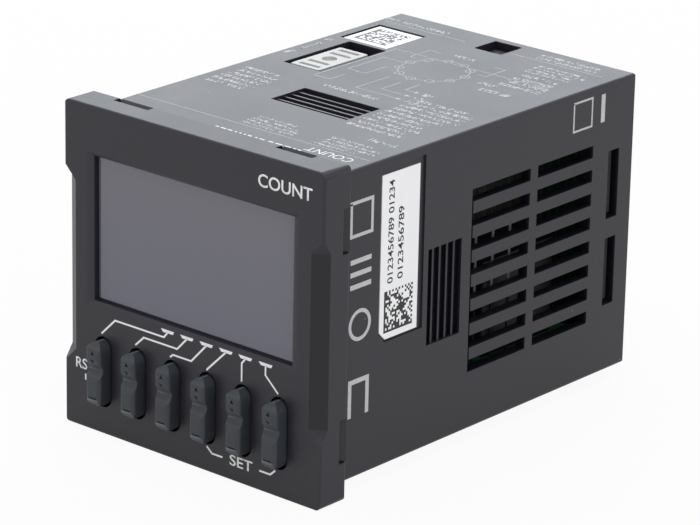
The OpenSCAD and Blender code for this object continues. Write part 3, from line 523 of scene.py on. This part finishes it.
# %% Boards and what stands on them
dress({
    "display_board": shaded_board_green,
    "controller_chip": black_moulding,
    "board_headers": black_moulding,
    "board_links": wire_with_shaded_ends,
    "upper_board": shaded_board_green,
    "optocouplers": black_moulding,
    "selector_switch": black_moulding,
    "lower_board": lit_board_green,
    # Dark grey and stony
    "transformer_core": moulded_plastic("sintered ferrite", "#343437", 0.55, grain_mm=0.2, dust=0.0),
    "transformer_bobbin": black_moulding,
    # Amber and glossy
    "transformer_winding": mottled("yellow polyester tape", "#c79f36", "#b58c28", 0.3, 3.0),
    # Blue-black and glossy
    "filter_capacitors": mottled("dark blue shrink sleeve", "#1d2740", "#26324e", 0.3, 4.0),
    # Middle grey with a satin skin
    "film_capacitor": moulded_plastic("grey epoxy box", "#4a4c50", 0.4, dust=0.0),
    # A clear blue with soft edges
    "varistor": mottled("blue epoxy dip", "#274b82", "#1f3d6c", 0.35, 2.0),
    "output_relay": black_moulding,
    "rear_board": shaded_board_green,
})

# %% [markdown]
# ## Round edges on the mouldings
# A solid has knife-sharp edges where its faces meet, but no mould is that sharp: each edge of the real part
# has a radius of about a tenth of a millimetre, and that thin line is what catches the light. The edges
# could be faked in the shader. Real geometry also keeps the rounding in the meshes, so each moulding gets a
# copy of its solid: its loose triangles are merged, flat triangles dissolve into whole faces, and a Bevel
# modifier rounds every sharp edge. A Weighted Normal modifier then keeps the shading of the large faces flat
# right up to the rounding.

# %% A copy of a solid with round edges
SHARP_DEG = 32.0
MERGE_MM = 0.002
FLAT_DEG = 1.0


def rounded_copy(node_name, edge_mm, segments=2, sharp_deg=SHARP_DEG):
    """A merged copy of a solid whose edges sharper than sharp_deg are rounded by edge_mm."""
    piece = bpy.data.objects.new(node_name + "_copy", nodes[node_name].data.copy())
    bpy.context.scene.collection.objects.link(piece)
    pick(piece)
    piece.scale = (1 / MM,) * 3
    bpy.ops.object.transform_apply(location=False, rotation=False, scale=True)
    bpy.ops.object.mode_set(mode="EDIT")
    bpy.ops.mesh.customdata_custom_splitnormals_clear()
    bpy.ops.mesh.select_all(action="SELECT")
    bpy.ops.mesh.remove_doubles(threshold=MERGE_MM)
    bpy.ops.mesh.dissolve_limited(angle_limit=math.radians(FLAT_DEG))
    bpy.ops.object.mode_set(mode="OBJECT")
    bevel = piece.modifiers.new("round edges", "BEVEL")
    bevel.width = edge_mm
    bevel.segments = segments
    bevel.limit_method = "ANGLE"
    bevel.angle_limit = math.radians(sharp_deg)
    bevel.use_clamp_overlap = False
    bpy.ops.object.modifier_apply(modifier=bevel.name)
    bpy.ops.object.shade_smooth_by_angle(angle=math.radians(SHARP_DEG))
    normals = piece.modifiers.new("flat faces stay flat", "WEIGHTED_NORMAL")
    normals.keep_sharp = True
    bpy.ops.object.modifier_apply(modifier=normals.name)
    piece.scale = (MM,) * 3
    bpy.ops.object.transform_apply(location=False, rotation=False, scale=True)
    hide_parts(node_name)
    return piece


print("edges sharper than", SHARP_DEG, "degrees will be rounded")

# %% Bezel, case, plug, slider and pins
# On the bezel only the square edges are rounded, so the blunt edges of its grips stay crisp
BEZEL_SHARP_DEG = 60.0
BEZEL_EDGE_MM, CASE_EDGE_MM, PLUG_EDGE_MM = 0.08, 0.06, 0.12
SLIDER_EDGE_MM, PIN_EDGE_MM = 0.12, 0.10

bezel = rounded_copy("front_bezel", BEZEL_EDGE_MM, sharp_deg=BEZEL_SHARP_DEG)
finish_piece(bezel, "bezel_moulding", "housing", bezel_abs)
shell = rounded_copy("case", CASE_EDGE_MM)
finish_piece(shell, "case_moulding", "housing", case_abs)
plug = rounded_copy("plug_base", PLUG_EDGE_MM)
finish_piece(plug, "plug_moulding", "housing", plug_nylon)
slider = rounded_copy("selector_knob", SLIDER_EDGE_MM)
finish_piece(slider, "selector_slider", "selector", slider_acetal)
pins = rounded_copy("plug_pins", PIN_EDGE_MM)
finish_piece(pins, "plug_pin_ring", "housing", nickel)

# %% [markdown]
# ## Key caps
# The six rocker caps are alike, and one mesh could be shared by all. Each rocks on a body of its own, so
# each gets its own copy, and one more segment in the rounding, because their edges are the most looked at.

# %% Key caps
KEY_COUNT = 6
KEY_EDGE_MM = 0.10
for number in range(1, KEY_COUNT + 1):
    cap = rounded_copy(f"rocker_key_{number}", KEY_EDGE_MM, segments=3)
    finish_piece(cap, f"key_cap_{number}", f"key_{number}", key_abs)

# %% [markdown]
# ## Printing
# The lines and words are pad printed. An image on the face would be quick, but it would blur and could not
# follow a new size, so each mark is a real film of ink two hundredths of a millimetre thick. All marks are
# drawn flat, in millimetres, as if on paper, then joined, given their thickness and laid on a face of the
# housing.

# %% Patches, lines, bars and frames
def ink_patch(corners):
    """A flat patch of ink: a filled circle whose points are moved to the corners."""
    clear_selection()
    bpy.ops.mesh.primitive_circle_add(vertices=len(corners), radius=1.0, fill_type="NGON")
    patch = bpy.context.object
    for vertex, corner in zip(patch.data.vertices, corners):
        vertex.co = (corner[0], corner[1], 0)
    return patch


def ink_line(points, width):
    """A line of ink through points, with mitred corners."""
    path = [Vector(point) for point in points]
    steps = [(b - a).normalized() for a, b in zip(path, path[1:])]
    sides = [Vector((-step.y, step.x)) for step in steps]
    mitres = [sides[0]] + [(a + b) / (1 + a.dot(b)) for a, b in zip(sides, sides[1:])] + [sides[-1]]
    left = [point + mitre * width / 2 for point, mitre in zip(path, mitres)]
    right = [point - mitre * width / 2 for point, mitre in zip(path, mitres)]
    return ink_patch(left + right[::-1])


def ink_bar(x0, x1, y0, y1):
    """A plain rectangle of ink."""
    return ink_patch([(x0, y0), (x1, y0), (x1, y1), (x0, y1)])


def ink_frame(x0, x1, y0, y1, width):
    """The outline of a rectangle, whose last stroke runs on to fill the corner it started from."""
    return ink_line([(x0, y1), (x0, y0), (x1, y0), (x1, y1), (x0 - width / 2, y1)], width)


print("patches, lines, bars and frames ready")

# %% Rings and words
BOLDER_EM = 0.012


def ink_ring(middle, radius, width, points=32):
    """A ring of ink: a filled circle whose inner part is inset and cut out."""
    clear_selection()
    bpy.ops.mesh.primitive_circle_add(vertices=points, radius=radius, location=(*middle, 0),
                                      fill_type="NGON")
    bpy.ops.object.mode_set(mode="EDIT")
    bpy.ops.mesh.select_mode(type="FACE")
    bpy.ops.mesh.select_all(action="SELECT")
    bpy.ops.mesh.inset(thickness=width)
    bpy.ops.mesh.delete(type="FACE")
    bpy.ops.object.mode_set(mode="OBJECT")
    return bpy.context.object


def ink_word(word, middle, width, height, turned_deg=0, bolder_em=BOLDER_EM):
    """A word fitted to a width and a height, turned about its middle."""
    clear_selection()
    bpy.ops.object.text_add()
    bpy.context.object.data.body = word
    bpy.context.object.data.align_x = "CENTER"
    bpy.context.object.data.align_y = "CENTER"
    bpy.context.object.data.offset = bolder_em
    bpy.ops.object.convert(target="MESH")
    letters = bpy.context.object
    letters.scale = (width / letters.dimensions.x, height / letters.dimensions.y, 1)
    letters.rotation_euler.z = math.radians(turned_deg)
    letters.location = (*middle, 0)
    bpy.ops.object.transform_apply()
    return letters


print("rings and words ready")


# %% Sheets of small cells
def ink_cells(x0, x1, y0, y1, columns, rows, keep):
    """A grid of small cells, of which only those stay for which keep(column, row) is true."""
    clear_selection()
    bpy.ops.mesh.primitive_grid_add(x_subdivisions=columns, y_subdivisions=rows, size=1)
    sheet = bpy.context.object
    bpy.ops.object.mode_set(mode="EDIT")
    bpy.ops.mesh.select_mode(type="FACE")
    mesh = bmesh.from_edit_mesh(sheet.data)
    for face in mesh.faces:
        middle = face.calc_center_median()
        column, row = int((middle.x + 0.5) * columns), int((middle.y + 0.5) * rows)
        face.select_set(not keep(column, row))
    bmesh.update_edit_mesh(sheet.data)
    bpy.ops.mesh.delete(type="FACE")
    bpy.ops.object.mode_set(mode="OBJECT")
    sheet.scale = (x1 - x0, y1 - y0, 1)
    sheet.location = ((x0 + x1) / 2, (y0 + y1) / 2, 0)
    bpy.ops.object.transform_apply()
    return sheet


print("sheets of cells ready")

# %% Broken type and squares of cells
CELL_MM = 0.2
LINE_BANDS, INK_BANDS = 5, 3
SHORTEST_LINE = 0.7
CELLS_PER_GAP = 9
TYPE_SHARE, CODE_SHARE = 0.45, 0.5


def small_type(x0, x1, y0, y1, lines, seed):
    """Lines of small broken marks, which look like type too small to read."""
    dice = random.Random(seed)
    columns = max(3, round((x1 - x0) / CELL_MM))
    bands = lines * LINE_BANDS - (LINE_BANDS - INK_BANDS)
    ends = [columns * dice.uniform(SHORTEST_LINE, 1.0) for _ in range(lines)]
    gap_count = columns // CELLS_PER_GAP + 1
    gaps = [{dice.randrange(columns) for _ in range(gap_count)} for _ in range(lines)]

    def keep(column, band):
        line = band // LINE_BANDS
        in_line = band % LINE_BANDS < INK_BANDS and column < ends[line] and column not in gaps[line]
        return in_line and dice.random() < TYPE_SHARE

    return ink_cells(x0, x1, y0, y1, columns, bands, keep)


def code_square(x0, y0, side, cells, seed):
    """A square of random cells with two full edges and two dotted ones, which holds no code."""
    dice = random.Random(seed)
    last = cells - 1

    def keep(column, row):
        if column == 0 or row == 0:
            return True
        if column == last or row == last:
            return (column + row) % 2 == 0
        return dice.random() < CODE_SHARE

    return ink_cells(x0, x0 + side, y0, y0 + side, cells, cells, keep)


print("broken type of", CELL_MM, "mm cells ready")

# %% Lay the ink on a face
FRONT = Matrix.Rotation(math.radians(90), 4, "X")
RIGHT_SIDE = Matrix(((0, 0, 1, 0), (1, 0, 0, 0), (0, 1, 0, 0), (0, 0, 0, 1)))
TOP = Matrix.Identity(4)
INK_MM = 0.02


def face_outwards():
    """Turns all faces of the active mesh outwards."""
    bpy.ops.object.mode_set(mode="EDIT")
    bpy.ops.mesh.select_all(action="SELECT")
    bpy.ops.mesh.normals_make_consistent(inside=False)
    bpy.ops.object.mode_set(mode="OBJECT")


def lay_ink(name, marks, face, level, ink):
    """Joins flat marks, thickens them to a film and lays them on a face at this level, in millimetres."""
    clear_selection()
    for mark in marks:
        mark.select_set(True)
    bpy.context.view_layer.objects.active = marks[0]
    if len(marks) > 1:
        bpy.ops.object.transform_apply()
        bpy.ops.object.join()
    film = bpy.context.object
    face_outwards()
    thick = film.modifiers.new("ink film", "SOLIDIFY")
    thick.thickness = INK_MM
    thick.offset = 0
    bpy.ops.object.modifier_apply(modifier=thick.name)
    face_outwards()
    film.matrix_world = Matrix.Scale(MM, 4) @ face @ Matrix.Translation((0, 0, level))
    bpy.ops.object.transform_apply()
    finish_piece(film, name, "housing", ink)


print("ink films will be", INK_MM, "mm thick")

# %% [markdown]
# ## Marks on the front
# Six marks under the display each have a leader line down to a key, so that a key is read with its digit.
# Below the keys a word sits between two bracket lines, another stands by the first key and a third at the
# upper right. A font could set the words at its own width. Here each is fitted to its measured width and
# height, so that it fills its place.

# %% Leaders and words of the front
FRONT_Y_MM = -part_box("front_bezel")[0].y / MM
LEADER_MM = 0.27
MARK_TOP_Z, MARK_FOOT_Z = -5.12, -5.58
MARK_HALF, FOOT_LEFT, FOOT_RIGHT = 1.25, 0.85, 1.0
leaders = [
    [(-4.15, -5.5), (-4.83, -6.33), (-14.17, -6.33), (-16.83, -8.93)],
    [(-0.53, -5.5), (-2.33, -7.40), (-8.67, -7.40), (-10.27, -8.93)],
    [(3.10, -5.5), (0.33, -8.47), (-3.10, -8.47), (-3.67, -8.93)],
    [(6.73, -5.5), (3.17, -9.00)],
    [(10.30, -5.5), (9.67, -6.27), (9.67, -8.93)],
    [(14.00, -5.5), (14.00, -6.83), (16.33, -8.93)],
]
front_marks = []
for points in leaders:
    x = points[0][0]
    front_marks.append(ink_patch([(x - MARK_HALF, MARK_TOP_Z), (x + MARK_HALF, MARK_TOP_Z),
                                  (x + FOOT_RIGHT, MARK_FOOT_Z), (x - FOOT_LEFT, MARK_FOOT_Z)]))
    front_marks.append(ink_line(points, LEADER_MM))
front_marks += [
    ink_line([(3.33, -20.17), (4.33, -21.0), (6.27, -21.0)], LEADER_MM),
    ink_line([(13.1, -21.0), (15.1, -21.0), (16.0, -20.17)], LEADER_MM),
    ink_word("SET", (9.7, -21.0), 4.2, 1.6),
    ink_word("RST", (-20.1, -14.5), 3.6, 1.6),
    ink_line([(-19.95, -15.8), (-19.95, -16.7)], LEADER_MM),
    ink_word("COUNT", (17.0, 20.45), 9.6, 1.85),
]
lay_ink("front_print", front_marks, FRONT, FRONT_Y_MM, white_ink)

# %% [markdown]
# ## Border of the window
# A thin black line is printed round the window, a little inside its edge, and hides where the display ends.
# It could be one frame with mitred corners. Four plain bars are simpler, and on black the joints cannot be
# seen.

# %% Black border near the window's edge
BORDER_MM, BORDER_INSET_MM = 0.3, 0.8
window_low, window_high = [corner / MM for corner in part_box("display_window")]
left, right = window_low.x + BORDER_INSET_MM, window_high.x - BORDER_INSET_MM
foot, head = window_low.z + BORDER_INSET_MM, window_high.z - BORDER_INSET_MM
border = [
    ink_bar(left, right, foot, foot + BORDER_MM),
    ink_bar(left, right, head - BORDER_MM, head),
    ink_bar(left, left + BORDER_MM, foot + BORDER_MM, head - BORDER_MM),
    ink_bar(right - BORDER_MM, right, foot + BORDER_MM, head - BORDER_MM),
]
lay_ink("window_border", border, FRONT, -window_low.y, black_ink)

# %% [markdown]
# ## Marks on the top
# The top carries the wiring plan of the plug: a ring of eleven small circles with lines to them, and blocks
# of type that is too small to read. Such type is drawn as rows of broken cells, because letters that nobody
# can read would only cost faces. Depths are counted from the front face, as they were measured.

# %% Wires of the plan
CASE_TOP_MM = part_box("top_label")[1].z / MM + LABEL_SINK_MM
PLAN_MM = 0.14


def on_top(depth, x):
    """A point of the top, from its depth behind the front face and its distance to the right."""
    return (x, depth - FRONT_Y_MM)


wires = [
    [(12.3, -22.0), (12.3, 21.0)],
    [(64.7, -21.0), (64.7, -5.5)],
    [(64.7, 3.5), (64.7, 20.0)],
    [(40.0, -7.3), (36.6, -7.3), (36.6, -10.3), (54.7, -10.3), (54.7, 18.0)],
    [(42.3, -6.8), (42.3, -8.8), (50.2, -8.8), (50.2, -5.2)],
    [(47.0, -5.5), (42.4, -5.5), (42.0, -7.0)],
    [(36.2, 5.5), (36.2, -2.0), (43.5, -2.0)],
    [(38.2, 5.5), (38.2, 1.0), (42.5, 1.0)],
    [(40.2, 5.5), (40.2, 3.7), (43.5, 3.7)],
    [(53.0, -5.3), (53.3, -6.3), (57.6, -6.3), (57.6, -4.0)],
    [(57.6, 5.8), (57.6, 7.9), (53.0, 7.9), (53.0, 6.5)],
    [(45.0, -20.3), (50.0, -20.3)],
]
top_marks = [ink_line([on_top(*point) for point in wire], PLAN_MM) for wire in wires]
print("drew", len(wires), "wires")

# %% Ring of contacts and arrows
RING_DEPTH, RING_X, RING_R, RING_LINE_R = 50.2, 0.7, 5.2, 5.3
CONTACT_COUNT, CONTACT_R = 11, 0.75
TRAVEL_X, TRAVEL_HALF = -20.3, 0.45
TIP_X, TIP_HALF, TIP_LENGTH = 5.5, 0.4, 0.9

top_marks.append(ink_ring(on_top(RING_DEPTH, RING_X), RING_LINE_R, PLAN_MM, points=48))
for contact in range(CONTACT_COUNT):
    angle = 2 * math.pi * (contact + 0.5) / CONTACT_COUNT
    spot = on_top(RING_DEPTH + RING_R * math.cos(angle), RING_X + RING_R * math.sin(angle))
    top_marks.append(ink_ring(spot, CONTACT_R, PLAN_MM, points=16))
for tip, back in ((45.0, 46.0), (50.0, 49.0)):
    top_marks.append(ink_patch([on_top(tip, TRAVEL_X), on_top(back, TRAVEL_X - TRAVEL_HALF),
                                on_top(back, TRAVEL_X + TRAVEL_HALF)]))
for depth in (36.2, 38.2, 40.2):
    top_marks.append(ink_patch([on_top(depth, TIP_X + TIP_LENGTH), on_top(depth - TIP_HALF, TIP_X),
                                on_top(depth + TIP_HALF, TIP_X)]))
print("drew a ring of", CONTACT_COUNT, "contacts and five arrows")

# %% Small type of the top
# Each block: its near and far depth, its left and right edge, and its lines of type
type_blocks = [
    (13.0, 17.0, -3.0, 7.0, 4), (13.0, 17.0, 10.5, 20.5, 4), (18.8, 20.0, 15.0, 20.0, 1),
    (24.0, 33.0, -20.0, -11.0, 6), (22.5, 38.0, 8.0, 20.0, 10), (33.5, 34.5, -6.0, 5.0, 1),
    (51.5, 58.0, 11.0, 19.0, 4), (59.0, 63.0, 10.0, 20.0, 4), (65.6, 66.6, -22.0, -6.0, 1),
    (65.4, 67.6, 7.0, 20.0, 2), (35.6, 36.8, 7.0, 9.5, 1), (37.6, 38.8, 7.0, 9.0, 1),
    (39.6, 40.8, 7.0, 9.5, 1), (57.6, 58.6, -2.0, 3.0, 1), (47.4, 48.6, 11.0, 18.0, 1),
    (49.8, 50.8, 8.5, 12.0, 1), (42.0, 43.8, -21.0, -19.6, 1), (51.0, 52.0, -21.0, -19.6, 1),
]
for seed, (near, far, left, right, lines) in enumerate(type_blocks):
    top_marks.append(small_type(left, right, near - FRONT_Y_MM, far - FRONT_Y_MM, lines, seed))
lay_ink("top_print", top_marks, TOP, CASE_TOP_MM, thin_ink)

# %% [markdown]
# ## Marks behind the bezel
# Along the front edge of the top run a word, which is read from the rear, and a row of short dashes. They
# are printed with a full coat, so they are whiter than the plan and a piece of their own. The dashes could
# be placed by hand. Here a random draw with a fixed seed sets their lengths, so each run gives the same.

# %% Word and dashes behind the bezel
DASH_SEED = 7
DASH_DEPTH, DASH_MM = 7.9, 1.5
DASH_FROM_X, DASH_TO_X = -4.0, 11.0
DASH_SHORT, DASH_LONG = 0.3, 1.3
GAP_SHORT, GAP_LONG = 0.3, 0.7

edge_marks = [ink_word("COUNT", on_top(10.7, 15.5), 8.0, 1.6, turned_deg=180, bolder_em=0)]
dice = random.Random(DASH_SEED)
dash_near = DASH_DEPTH - FRONT_Y_MM
dash_x = DASH_FROM_X
while dash_x < DASH_TO_X:
    dash_end = dash_x + dice.uniform(DASH_SHORT, DASH_LONG)
    edge_marks.append(ink_bar(dash_x, dash_end, dash_near, dash_near + DASH_MM))
    dash_x = dash_end + dice.uniform(GAP_SHORT, GAP_LONG)
lay_ink("top_edge_print", edge_marks, TOP, CASE_TOP_MM, white_ink)

# %% [markdown]
# ## Marks on the side and the labels
# The side has a row of grey marks behind the bezel and one near the rear. They are plain signs here: a
# square, bars, a ring and a bracket. The two labels carry a square of cells and, on the side, two lines of
# figures. A label could be one image. Cells and figures as ink keep their edges at any distance.

# %% Side marks
SIGN_FROM, SIGN_TO = 2.1, 6.4
SIGN_LINE_MM, SIGN_BAR_MM = 0.5, 0.7
SIGN_RING_R, SIGN_RING_MM = 2.3, 0.55
BRACKET_FOOT_Z, BRACKET_TOP_Z = -13.2, -8.4
REAR_SIGN_FOOT, REAR_SIGN_TOP, REAR_LINE_MM = 16.6, 20.8, 0.3

side_marks = [ink_frame(SIGN_FROM, SIGN_TO, 12.9, 17.6, SIGN_LINE_MM)]
side_marks += [ink_bar(SIGN_FROM, SIGN_TO, z, z + SIGN_BAR_MM) for z in (8.9, 7.1, 5.3)]
side_marks += [
    ink_ring(((SIGN_FROM + SIGN_TO) / 2, 0.0), SIGN_RING_R, SIGN_RING_MM),
    ink_bar(SIGN_FROM, SIGN_TO, BRACKET_TOP_Z, BRACKET_TOP_Z + SIGN_BAR_MM),
    ink_bar(SIGN_FROM, SIGN_FROM + SIGN_BAR_MM, BRACKET_FOOT_Z, BRACKET_TOP_Z),
    ink_bar(SIGN_TO - SIGN_BAR_MM, SIGN_TO, BRACKET_FOOT_Z, BRACKET_TOP_Z),
    ink_frame(50.0, 54.2, REAR_SIGN_FOOT, REAR_SIGN_TOP, REAR_LINE_MM),
    ink_bar(56.3, 57.2, REAR_SIGN_FOOT, REAR_SIGN_TOP),
]
lay_ink("side_print", side_marks, RIGHT_SIDE, CASE_SIDE_MM, grey_ink)

# %% Label print
CODE_CELLS = 18
SIDE_CODE_MM, TOP_CODE_MM = 6.0, 6.1
SIDE_CODE_SEED, TOP_CODE_SEED = 101, 102
FIGURE_MM = 1.15

figures = [
    code_square(9.4, -2.8, SIDE_CODE_MM, CODE_CELLS, SIDE_CODE_SEED),
    ink_word("0123456789 01234", (10.6, 11.6), 14.8, FIGURE_MM, turned_deg=90),
    ink_word("0123456789", (12.7, 9.6), 10.4, FIGURE_MM, turned_deg=90),
]
label_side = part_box("side_label")[1].x / MM
lay_ink("side_label_print", figures, RIGHT_SIDE, label_side, label_print)

top_code = code_square(-19.0, 49.8, TOP_CODE_MM, CODE_CELLS, TOP_CODE_SEED)
label_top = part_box("top_label")[1].z / MM
lay_ink("top_label_print", [top_code], TOP, label_top, label_print)

# %% [markdown]
# ## Floor
# The object stands on a sheet of white paper. A very bright lamp could make plain paper white, but it would
# also bleach the object. Here the paper is white to the camera mostly by a glow of its own, and still takes
# a little of the object's shadow. Mirrored rays see less of that glow, so the sides do not turn pale.

# %% White paper
FLOOR_SIZE_M = 4.0
FLOOR_GAP_MM = 0.02
PAPER_SHADE, PAPER_ROUGHNESS = "#f0f0f0", 0.9
GLOW_TO_CAMERA = 0.93
GLOW_IN_MIRRORS = 0.45

clear_selection()
bpy.ops.mesh.primitive_plane_add(size=FLOOR_SIZE_M, location=(0, 0, cad_low.z - FLOOR_GAP_MM * MM))
floor = bpy.context.object
floor.name = "floor"
paper = bpy.data.materials.new("white paper sheet")
paper.use_nodes = True
paper_shader = paper.node_tree.nodes["Principled BSDF"]
paper_shader.inputs["Base Color"].default_value = linear(PAPER_SHADE)
paper_shader.inputs["Roughness"].default_value = PAPER_ROUGHNESS
rays = add_node(paper, "LightPath", {})
mirrored = add_node(paper, "Math", {"operation": "MAXIMUM"},
                    {0: rays.outputs["Is Glossy Ray"], 1: rays.outputs["Is Transmission Ray"]})
in_mirrors = add_node(paper, "Math", {"operation": "MULTIPLY", 1: GLOW_IN_MIRRORS},
                      {0: mirrored.outputs["Value"]})
share = add_node(paper, "Math", {"operation": "MULTIPLY_ADD", 1: GLOW_TO_CAMERA},
                 {0: rays.outputs["Is Camera Ray"], 2: in_mirrors.outputs["Value"]})
glow = add_node(paper, "Emission", {"Strength": 1.0})
both = add_node(paper, "MixShader", {}, {0: share.outputs["Value"], 1: paper_shader.outputs["BSDF"],
                                         2: glow.outputs["Emission"]})
paper_output = paper.node_tree.nodes["Material Output"]
paper.node_tree.links.new(both.outputs["Shader"], paper_output.inputs["Surface"])
floor.data.materials.append(paper)
print("floor at", round(floor.location.z / MM, 2), "mm")

# %% [markdown]
# ## Sky and lamps
# The light is that of a white tent with soft lamps. The tent could be built of panels. A white sky does the
# same: it is full white to the camera and to mirrored rays, and half as strong as a light. A bright panel
# behind the object shines along the top face, which is why that face looks pale although it is the same
# charcoal plastic.

# %% White sky
SKY_LIGHT = 0.5
world = bpy.data.worlds.new("white studio")
bpy.context.scene.world = world
world.use_nodes = True
sky = world.node_tree.nodes["Background"]
sky.inputs["Color"].default_value = linear("#ffffff")
sky_rays = add_node(world, "LightPath", {})
strength = add_node(world, "Math", {"operation": "MAXIMUM", 1: SKY_LIGHT},
                    {0: sky_rays.outputs["Is Camera Ray"]})
for ray in ("Is Glossy Ray", "Is Transmission Ray"):
    strength = add_node(world, "Math", {"operation": "MAXIMUM"},
                        {0: strength.outputs["Value"], 1: sky_rays.outputs[ray]})
world.node_tree.links.new(strength.outputs["Value"], sky.inputs["Strength"])
print("sky light:", SKY_LIGHT)


# %% Soft lamps
def softbox(name, place_m, width_m, height_m, watts, shade="#ffffff"):
    """A lamp with a rectangular cloth that faces the object."""
    clear_selection()
    bpy.ops.object.light_add(type="AREA", location=place_m)
    lamp = bpy.context.object
    lamp.name = name
    lamp.data.shape = "RECTANGLE"
    lamp.data.size = width_m
    lamp.data.size_y = height_m
    lamp.data.energy = watts
    lamp.data.color = linear(shade)[:3]
    lamp.rotation_euler = (-Vector(place_m)).to_track_quat("-Z", "Y").to_euler()
    print("lamp", name, "of", watts, "watts")


softbox("back panel", (-0.50, 0.62, 0.36), 0.9, 0.55, 3.1, "#eef6ff")
softbox("overhead", (0.05, -0.10, 0.80), 0.6, 0.6, 2.0)
softbox("right fill", (0.75, -0.25, 0.30), 0.5, 0.5, 1.5)
softbox("left edge", (-0.80, 0.00, 0.15), 0.4, 0.4, 1.1)

# %% [markdown]
# ## Picture settings
# The Standard view shows each colour as it was set, where a filmic one would grey the white sheet.

# %% Picture settings
bpy.context.scene.view_settings.view_transform = "Standard"
